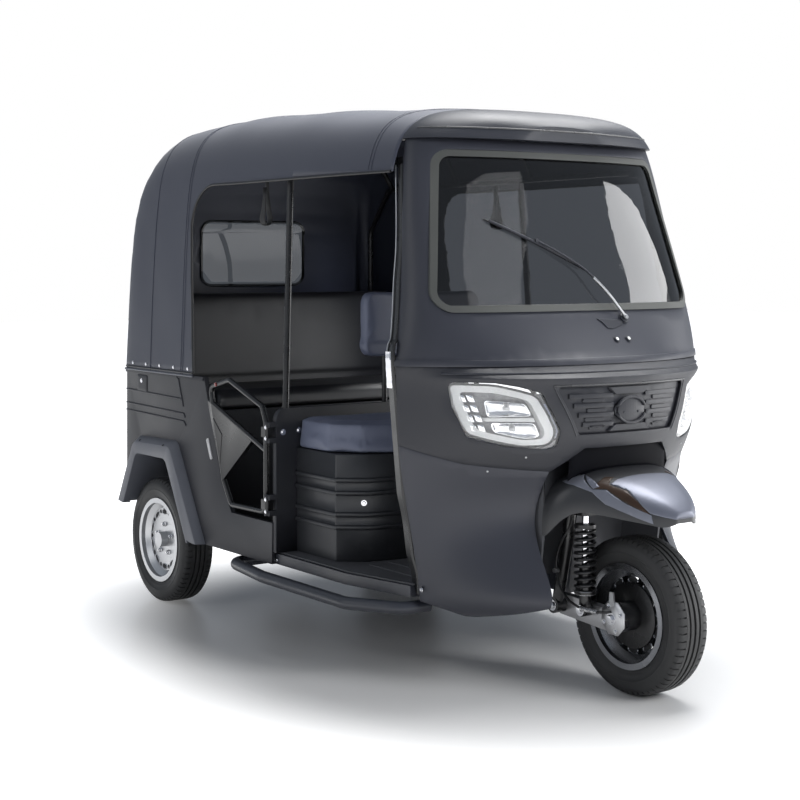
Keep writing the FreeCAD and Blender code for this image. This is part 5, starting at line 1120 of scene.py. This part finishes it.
# Door pillar trim
# A black rubber section runs up the rear edge of the nose on each side, with a chromed hinge plate
# at belt height and a bolt at its foot.
def rear_edge(node, z):
    """The rearmost place of a CAD node on its right side near a height."""
    near = [v.co for v in nodes[node].data.vertices if abs(v.co.z - z) < 0.04 and v.co.y < -0.3]
    if not near:
        return None
    last = min(co.x for co in near)
    return min((co for co in near if co.x < last + 0.012), key=lambda co: co.y).copy()


pillar_path = []
for node, heights in (("leg_shield", (0.3, 0.36, 0.42, 0.48, 0.54, 0.6, 0.65)),
                      ("nose_cowl", (1.05, 1.12, 1.2, 1.3, 1.4, 1.5, 1.6, 1.68))):
    for z in heights:
        place = rear_edge(node, z)
        if place is not None:
            pillar_path.append(Vector((place.x - 0.0085, place.y + 0.0045, z)))
pillar_line = smooth_through(pillar_path, 60)
bead("pillar_seals", paired([pillar_line]), 0.006, suspension_black, 12)
band_rows = []
for spot in pillar_line:
    wide = 0.046 - 0.012 * min(max(spot.z - 1.0, 0.0) / 0.6, 1.0)
    band_rows.append([spot + Vector((dx, dy, 0)) for dx, dy in ((0.002, 0.0), (-wide, 0.008), (-wide, 0.013),
                                                                (0.002, 0.006))])
on_both_sides("pillar_bands", band_rows, suspension_black, 30.0)
bright_path = [p + Vector((-0.04, 0.004, 0)) for p in pillar_line if p.z > 1.06]
bead("pillar_beads", paired([bright_path]), 0.0026, silver_steel)
plate_foot, plate_height = 0.965, 0.115
plate_rows = []
for k in range(13):
    z = plate_foot + plate_height * k / 12
    spot = min(pillar_line, key=lambda p: abs(p.z - z))
    plate_rows.append([Vector((spot.x + dx, spot.y - dy, z)) for dx, dy in
                       ((-0.036, 0.0), (-0.034, 0.006), (-0.012, 0.006), (-0.01, 0.002), (-0.012, -0.002),
                        (-0.034, -0.004))])
on_both_sides("hinge_plates", plate_rows, chrome, 30.0)
foot = rear_edge("leg_shield", 0.3)
bolts("pillar_bolts", both_sides([(Vector((foot.x + 0.014, foot.y - 0.001, 0.318)),
                                   Vector((-0.2, -1.0, 0.0)).normalized())]), chrome, 0.8)


# Roof cap, windscreen wiper and visor
# A black cap with a grey bead along its front lip, a painted highlight where the lip catches the light, and a
# wiper whose blade is a rubber lip in a black holder.
# Its arm bends over the windscreen from a pivot below the glass.
# The grey bead along the cap's lip is a painted highlight line.
visor_spots = [hit("roof_cap", (2.0, -0.5 + k / 40, 1.8), astern, must=False) for k in range(41)]
bead("visor_line", [[spot[0] + ahead * 0.0006 for spot in visor_spots if spot]], 0.003, trim_and_highlight_grey)
blade_ends = [seen("windscreen", px, py) for px, py in ((584.0, 270.0), (533.5, 243.0), (483.0, 219.5))]
blade_line = []
for (low, _), (high, _) in zip(blade_ends, blade_ends[1:]):
    blade_line += [hit("windscreen", low.lerp(high, step / 12) + ahead * 0.3, astern) for step in range(12)]
blade_line.append(blade_ends[-1])
bead("wiper_lip", [[place + normal * 0.0034 for place, normal in blade_line]], 0.003, cable_black)
bead("wiper_holder", [[place + normal * 0.01 for place, normal in blade_line[1:-1]]], 0.0048, gloss_black)
pivot_place, pivot_normal = seen("nose_cowl", 623.0, 318.5)
hub = pivot_place + pivot_normal * 0.014
knee, mid, tip = (seen("windscreen", px, py) for px, py in ((579.0, 270.5), (555.0, 254.0), (534.0, 241.5)))
arm_run = smooth_through([hub, hub.lerp(knee[0], 0.5) + pivot_normal * 0.02, knee[0] + knee[1] * 0.024,
                          mid[0] + mid[1] * 0.022, tip[0] + tip[1] * 0.016], 30)
bead("wiper_arm_root", [arm_run[:13]], 0.0048, silver_steel, 10)
wiper_arm = bead("wiper_arm", [arm_run[12:]], 0.0038, gloss_black, 10)
bead("wiper_joint", [[tip[0] + tip[1] * 0.008, tip[0] + tip[1] * 0.019]], 0.0072, gloss_black, 12)
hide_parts("wiper")
screws("wiper_pivot", [(pivot_place, pivot_normal)], gloss_black, 2.2)
bolts("wiper_nut", [(hub + pivot_normal * 0.002, pivot_normal)], silver_steel, 0.9)


# Seats
# Foam cushions in a grained cover, blue-grey for the driver and black for the bench: the saddle
# on the engine cover, its backrest on two tube stays, and the wide bench with its sloping back.
seat_leather = finish("seat_leather", (0.165, 0.185, 0.265), (0.36, 0.48), 0.1, 4.0, 1400.0, 0.3, 0.0005)
bench_leather = finish("bench_leather", (0.016, 0.0165, 0.02), (0.36, 0.48), 0.12, 4.0, 1400.0, 0.3, 0.0005)
last_frame = 20


def blown_up(name, mesh, limit):
    """A cushion's mesh after a cloth simulation with an inner pressure, held along its foot. No
    point moves further than a limit."""
    rest = [vert.co.copy() for vert in mesh.vertices]
    low, high = min(p.z for p in rest), max(p.z for p in rest)
    body = placed(name, mesh)
    held = body.vertex_groups.new(name="held")
    held.add([i for i, p in enumerate(rest) if p.z < low + 0.22 * (high - low)], 1.0, "REPLACE")
    cloth = body.modifiers.new("cloth", "CLOTH")
    for key, value in (("use_pressure", True), ("uniform_pressure_force", 4.0), ("vertex_group_mass", "held"),
                       ("mass", 0.3), ("quality", 4), ("tension_stiffness", 12.0),
                       ("compression_stiffness", 12.0), ("bending_stiffness", 0.6)):
        setattr(cloth.settings, key, value)
    cloth.settings.effector_weights.gravity = 0.0
    cloth.point_cache.frame_start = 1
    cloth.point_cache.frame_end = last_frame
    for frame_number in range(1, last_frame + 1):
        scene.frame_set(frame_number)
    blown = baked(body)
    scene.frame_set(1)
    for vert, start in zip(blown.vertices, rest):
        move = vert.co - start
        if move.length > limit:
            vert.co = start + move * (limit / move.length)
    return blown


def stuffed(name, node, material, voxel, limit, source=None):
    """A cushion in place of a CAD node, made from it or from a closed mesh and blown up a little."""
    core = placed(name + "_core", source or nodes[node].data.copy())
    core.modifiers.new("weld", "WELD").merge_threshold = weld_reach
    even = core.modifiers.new("even", "REMESH")
    even.mode = "VOXEL"
    even.voxel_size = voxel
    form = opened(baked(core))
    for _ in range(3):
        bmesh.ops.smooth_vert(form, verts=form.verts, factor=0.5, use_axis_x=True, use_axis_y=True,
                              use_axis_z=True)
    form.normal_update()
    for vert in form.verts:
        vert.co -= vert.normal * 0.002
    mesh = closed_up(form, name)
    mesh = blown_up(name + "_body", mesh, limit)
    fine = placed(name + "_fine", mesh)
    subdivide = fine.modifiers.new("fine", "SUBSURF")
    subdivide.levels = 1
    subdivide.render_levels = 1
    mesh = baked(fine)
    piece = new_piece(name, mesh, material, 0.0)
    mesh.shade_smooth()
    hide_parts(node)


pad_middle_z = 1.137
pad_loop = rounded_loop([(-0.273, 1.014), (0.273, 1.014), (0.273, 1.26), (-0.273, 1.26)], 0.046, 8)
pad_rows = [[Vector((x, p.x * s, pad_middle_z + (p.y - pad_middle_z) * s)) for p in pad_loop]
            for x, s in ((-0.104, 0.96), (-0.1, 0.995), (-0.056, 1.0), (-0.049, 0.96))]
stuffed("saddle_cushion", "driver_seat", seat_leather, 0.011, 0.008)
stuffed("backrest_pad", "driver_backrest", seat_leather, 0.01, 0.006, mesh_of(pad_rows, closed=True, ends=2))
bead("backrest_stays", [[(-0.104, y, 0.8425), (-0.104, y, 1.1)] for y in (-0.15, 0.15)], 0.01,
     suspension_black, 20)
stuffed("bench_pad", "bench_cushion", bench_leather, 0.015, 0.008)
stuffed("bench_back_pad", "bench_back", bench_leather, 0.015, 0.008)


# Canopy trim and frame
# Sewn double seams, cord piping round each opening, a welt round the rear window and a hem with
# press studs. The bows and poles are steel tube in black, and a strap hangs from each side rail.
dress(suspension_black, "canopy_bows", "grab_poles", "handlebar")


def station_at(x):
    """The canopy's station at a place along it."""
    for low, high in zip(station_line, station_line[1:]):
        xl, xh = (tail_x + (canopy_front - tail_x) * s.x for s in (low, high))
        if xl <= x <= xh:
            return low.lerp(high, (x - xl) / max(xh - xl, 1e-9))
    return station_line[-1]


def canopy_side(x, z, side, lift):
    """A place on the canopy's side at a height, lifted off it."""
    station = station_at(x)
    points = [canopy_point(station, section, side) for section in section_line]
    for low, high in zip(points, points[1:]):
        if low.z <= z <= high.z:
            return low.lerp(high, (z - low.z) / max(high.z - low.z, 1e-9)) + to_left * side * lift
    return points[0] + to_left * side * lift


seam_paths = [[p for p in canopy_line(station_at(x), -0.0006) if x < -0.77 or p.z > 1.664]
              for x in (-0.798, -0.782, -1.06, 0.436, 0.42)]
canopy_seams = bead("canopy_seams", seam_paths, 0.0018, cloth_blue_black, 6)
edge_points = [(-0.692, 0.934), (-0.728, 1.3)] + door_outline + \
    [(x, 1.656) for x in (-0.45, -0.3, -0.15, 0.0, 0.15, 0.3, 0.45, 0.545)]
canopy_piping = bead("canopy_piping", [[canopy_side(x - 0.002, z + 0.0015, side, 0.0008) for x, z in edge_points]
                                       for side in (-1, 1)], 0.005, piping_black)
welt_spots = [hit("rear_window", (-3.0, y * 0.985, z + (1.4035 - z) * 0.015), ahead, must=False)
              for y, z in window_outline]
bead("window_welt", [[spot[0] - ahead * 0.004 for spot in welt_spots if spot]], 0.0065, piping_black,
     closed=True)
hem_z = 0.934
hem_rows = [[canopy_side(-0.7 - 0.04 * k, hem_z, side, 0.0008) for k in range(16)] for side in (-1, 1)]
hem_rows.append([Vector((tail_x - 0.004, -0.545 + 1.09 * k / 24, hem_z)) for k in range(25)])
canopy_hem = bead("canopy_hem", hem_rows, 0.0036, piping_black)
stud_spots = [(canopy_side(-0.74 - 0.12 * k, 0.95, side, 0.001), to_left * side)
              for side in (-1, 1) for k in range(5)]
canopy_studs = screws("canopy_studs", stud_spots, chrome, 0.7)
strap_cloth = finish("strap_cloth", (0.012, 0.012, 0.013), (0.55, 0.7), 0.15, 20.0, 2500.0, 0.3)
strap_x, strap_y, strap_top = -0.3, 0.545, 1.676
strap_half = [(1.64, 0.004), (1.6, 0.006), (1.555, 0.01), (1.525, 0.016), (1.506, 0.012)]
strap_loop = [(strap_top, 0.0)] + strap_half + [(1.5, 0.0)] + [(z, -a) for z, a in reversed(strap_half)]
for side, place_name in ((-1, "right"), (1, "left")):
    strap_rows = []
    for z, across in strap_loop:
        twist = 0.004 * math.sin((strap_top - z) * 30)
        strap_rows.append([Vector((strap_x + dx, side * (strap_y - across), z)) for dx in
                           (-0.014 + twist, -0.007 + twist, 0.0, 0.007 - twist, 0.014 - twist)])
    strap = new_piece("hand_strap_" + place_name, mesh_of(strap_rows), strap_cloth, 50.0)
    thicken(strap, "web", 0.0022)
    screws("strap_bolts_" + place_name, [(Vector((strap_x, side * 0.5475, z)), to_left * side)
                                         for z in (1.664, 1.634)], chrome, 0.8)


# Half doors, panel trim and lamps
# Bent tube half doors with a pressed panel, a red latch and bolted hinges. The quarter panels carry
# pressed ribs, a locked flap and a white reflector, and the flares are bolted on.
dress(suspension_black, "door_right", "door_left")
lamp_red = finish("lamp_red", (0.28, 0.008, 0.006), (0.08, 0.16), 0.1, 30.0, bump=0.03, Coat_Weight=0.6)
reflector_white = finish("reflector_white", (0.7, 0.7, 0.71), (0.15, 0.25), 0.05, 60.0, bump=0.04)
dress(lamp_red, "tail_lamps", edge=0.003)


def outer_spot(x, z, *names):
    """The outermost place and normal of some CAD nodes on the right at a place along and a height."""
    spots = [hit(name, (x, -3.0, z), to_left, must=False) for name in names]
    return min((spot for spot in spots if spot), key=lambda spot: spot[0].y)


latch = seen("door_right", 215.5, 384.5)[0]
rib_corners = ((-0.52, 0.775), (-0.455, 0.72), (-0.47, 0.61))
for side, place_name in ((-1, "right"), (1, "left")):
    door_body = "half_door_" + place_name
    screws("latch_button_" + place_name, [(Vector((latch.x, side * 0.646, latch.z)), to_left * side)], lamp_red,
           0.9, door_body)
    ribs = [[Vector((xa + (xb - xa) * k / 8, side * 0.6452, za + (zb - za) * k / 8)) for k in range(9)]
            for (xa, za), (xb, zb) in zip(rib_corners, rib_corners[1:])]
    bead("door_rib_" + place_name, ribs, 0.0022, suspension_black, body=door_body)
hinge_spots = [(outer_spot(-0.108, z, "rear_body", "partition")[0], to_right)
               for z in (0.777, 0.738, 0.521, 0.478)]
screws("hinge_bolts", both_sides(hinge_spots), chrome, 0.75)
sill_place = outer_spot(-0.112, 0.3, "rear_body", "frame_outriggers", "partition")[0]
screws("sill_bolts", both_sides([(sill_place, to_right)]), chrome, 0.8)


def quarter_path(points, lift, steps):
    """Points along straight runs on the right rear panel, lifted off it."""
    path = []
    for i, ((xa, za), (xb, zb)) in enumerate(zip(points, points[1:])):
        for step in range(steps + (i == len(points) - 2)):
            place, normal = outer_spot(xa + (xb - xa) * step / steps, za + (zb - za) * step / steps, "rear_body")
            path.append(place + normal * lift)
    return path


swages = [quarter_path(points, 0.0, 20) for points in
          (((-1.3, 0.838), (-0.8, 0.828)), ((-1.3, 0.782), (-0.785, 0.772), (-0.775, 0.758)),
           ((-1.3, 0.752), (-0.785, 0.742), (-0.768, 0.728)), ((-0.835, 0.915), (-0.79, 0.8)))]
bead("quarter_swages", paired(swages), 0.0038, body_dark)
bead("belt_lips", paired([quarter_path(((-1.3, 0.9225), (-0.7, 0.9225)), 0.001, 24)]), 0.0045, flare_black)


def quarter_plate(name, outline, lift, material):
    """A low plate on both rear panels, over an outline of (x, z)."""
    rows = []
    for share, height in ((1.0, -0.002), (1.0, lift * 0.7), (0.95, lift), (0.5, lift), (0.02, lift)):
        rows.append([outer_spot(x, z, "rear_body")[0] + to_right * height
                     for x, z in rounded_loop(scaled_loop(outline, share), 0.006 * share, 3)])
    on_both_sides(name, rows, material, 30.0, 1)


quarter_plate("side_reflectors", [(-0.583, 0.696), (-0.551, 0.619), (-0.566, 0.614), (-0.6, 0.69)], 0.004,
              reflector_white)
quarter_plate("lock_flaps", [(-1.19, 0.905), (-1.105, 0.902), (-1.105, 0.835), (-1.19, 0.838)], 0.003,
              body_dark)
lock_place = outer_spot(-1.15, 0.88, "rear_body")[0] + to_right * 0.003
screws("flap_locks", both_sides([(lock_place, to_right)]), chrome, 0.95)
screws("flare_bolts", both_sides([outer_spot(x, 0.64, "wheel_flares") for x in (-1.12, -0.9)]), gloss_black,
       0.6)


# Tail and steering bar
# A chromed pull and lock on the tail lid, rubber grips with their levers and switch blocks on
# the bar.
lid_place = hit("tail_hatch", (-3.0, 0.0, 0.62), ahead)[0]
pull = [lid_place + Vector((dx, dy, 0)) for dx, dy in
        ((0.002, -0.062), (-0.02, -0.054), (-0.022, 0.0), (-0.02, 0.054), (0.002, 0.062))]
bead("tail_pull", [smooth_through(pull, 24)], 0.0048, chrome, 12, "tail_lid")
screws("tail_lock", [(lid_place - up * 0.06, astern)], chrome, 1.1, "tail_lid")
rake, bar_z = math.radians(20.0), 1.125
bar_x = front_axle_x + 0.06 - 1.085 * math.tan(rake)
grip_ends, lever_paths, switch_paths = [], [], []
for side in (-1, 1):
    end = Vector((bar_x - 0.17, side * 0.29, bar_z))
    heel = Vector((bar_x - 0.06, side * 0.2, bar_z))
    along = (heel - end).normalized()
    below = Vector((0.3, 0.4 * side, -0.86)).normalized()
    grip_ends.append([end - along * 0.001, end + along * 0.116])
    switch_paths.append([end + along * 0.119, end + along * 0.15])
    lever_paths.append(smooth_through([end + along * reach + below * drop for reach, drop in (
        (0.136, 0.012), (0.11, 0.024), (0.06, 0.026), (0.02, 0.027))], 16))
bead("bar_grips", grip_ends, 0.0168, strap_cloth, 28, "steering")
bead("bar_switches", switch_paths, 0.019, cover_black, 24, "steering")
bead("bar_levers", lever_paths, 0.0042, silver_steel, 10, "steering")
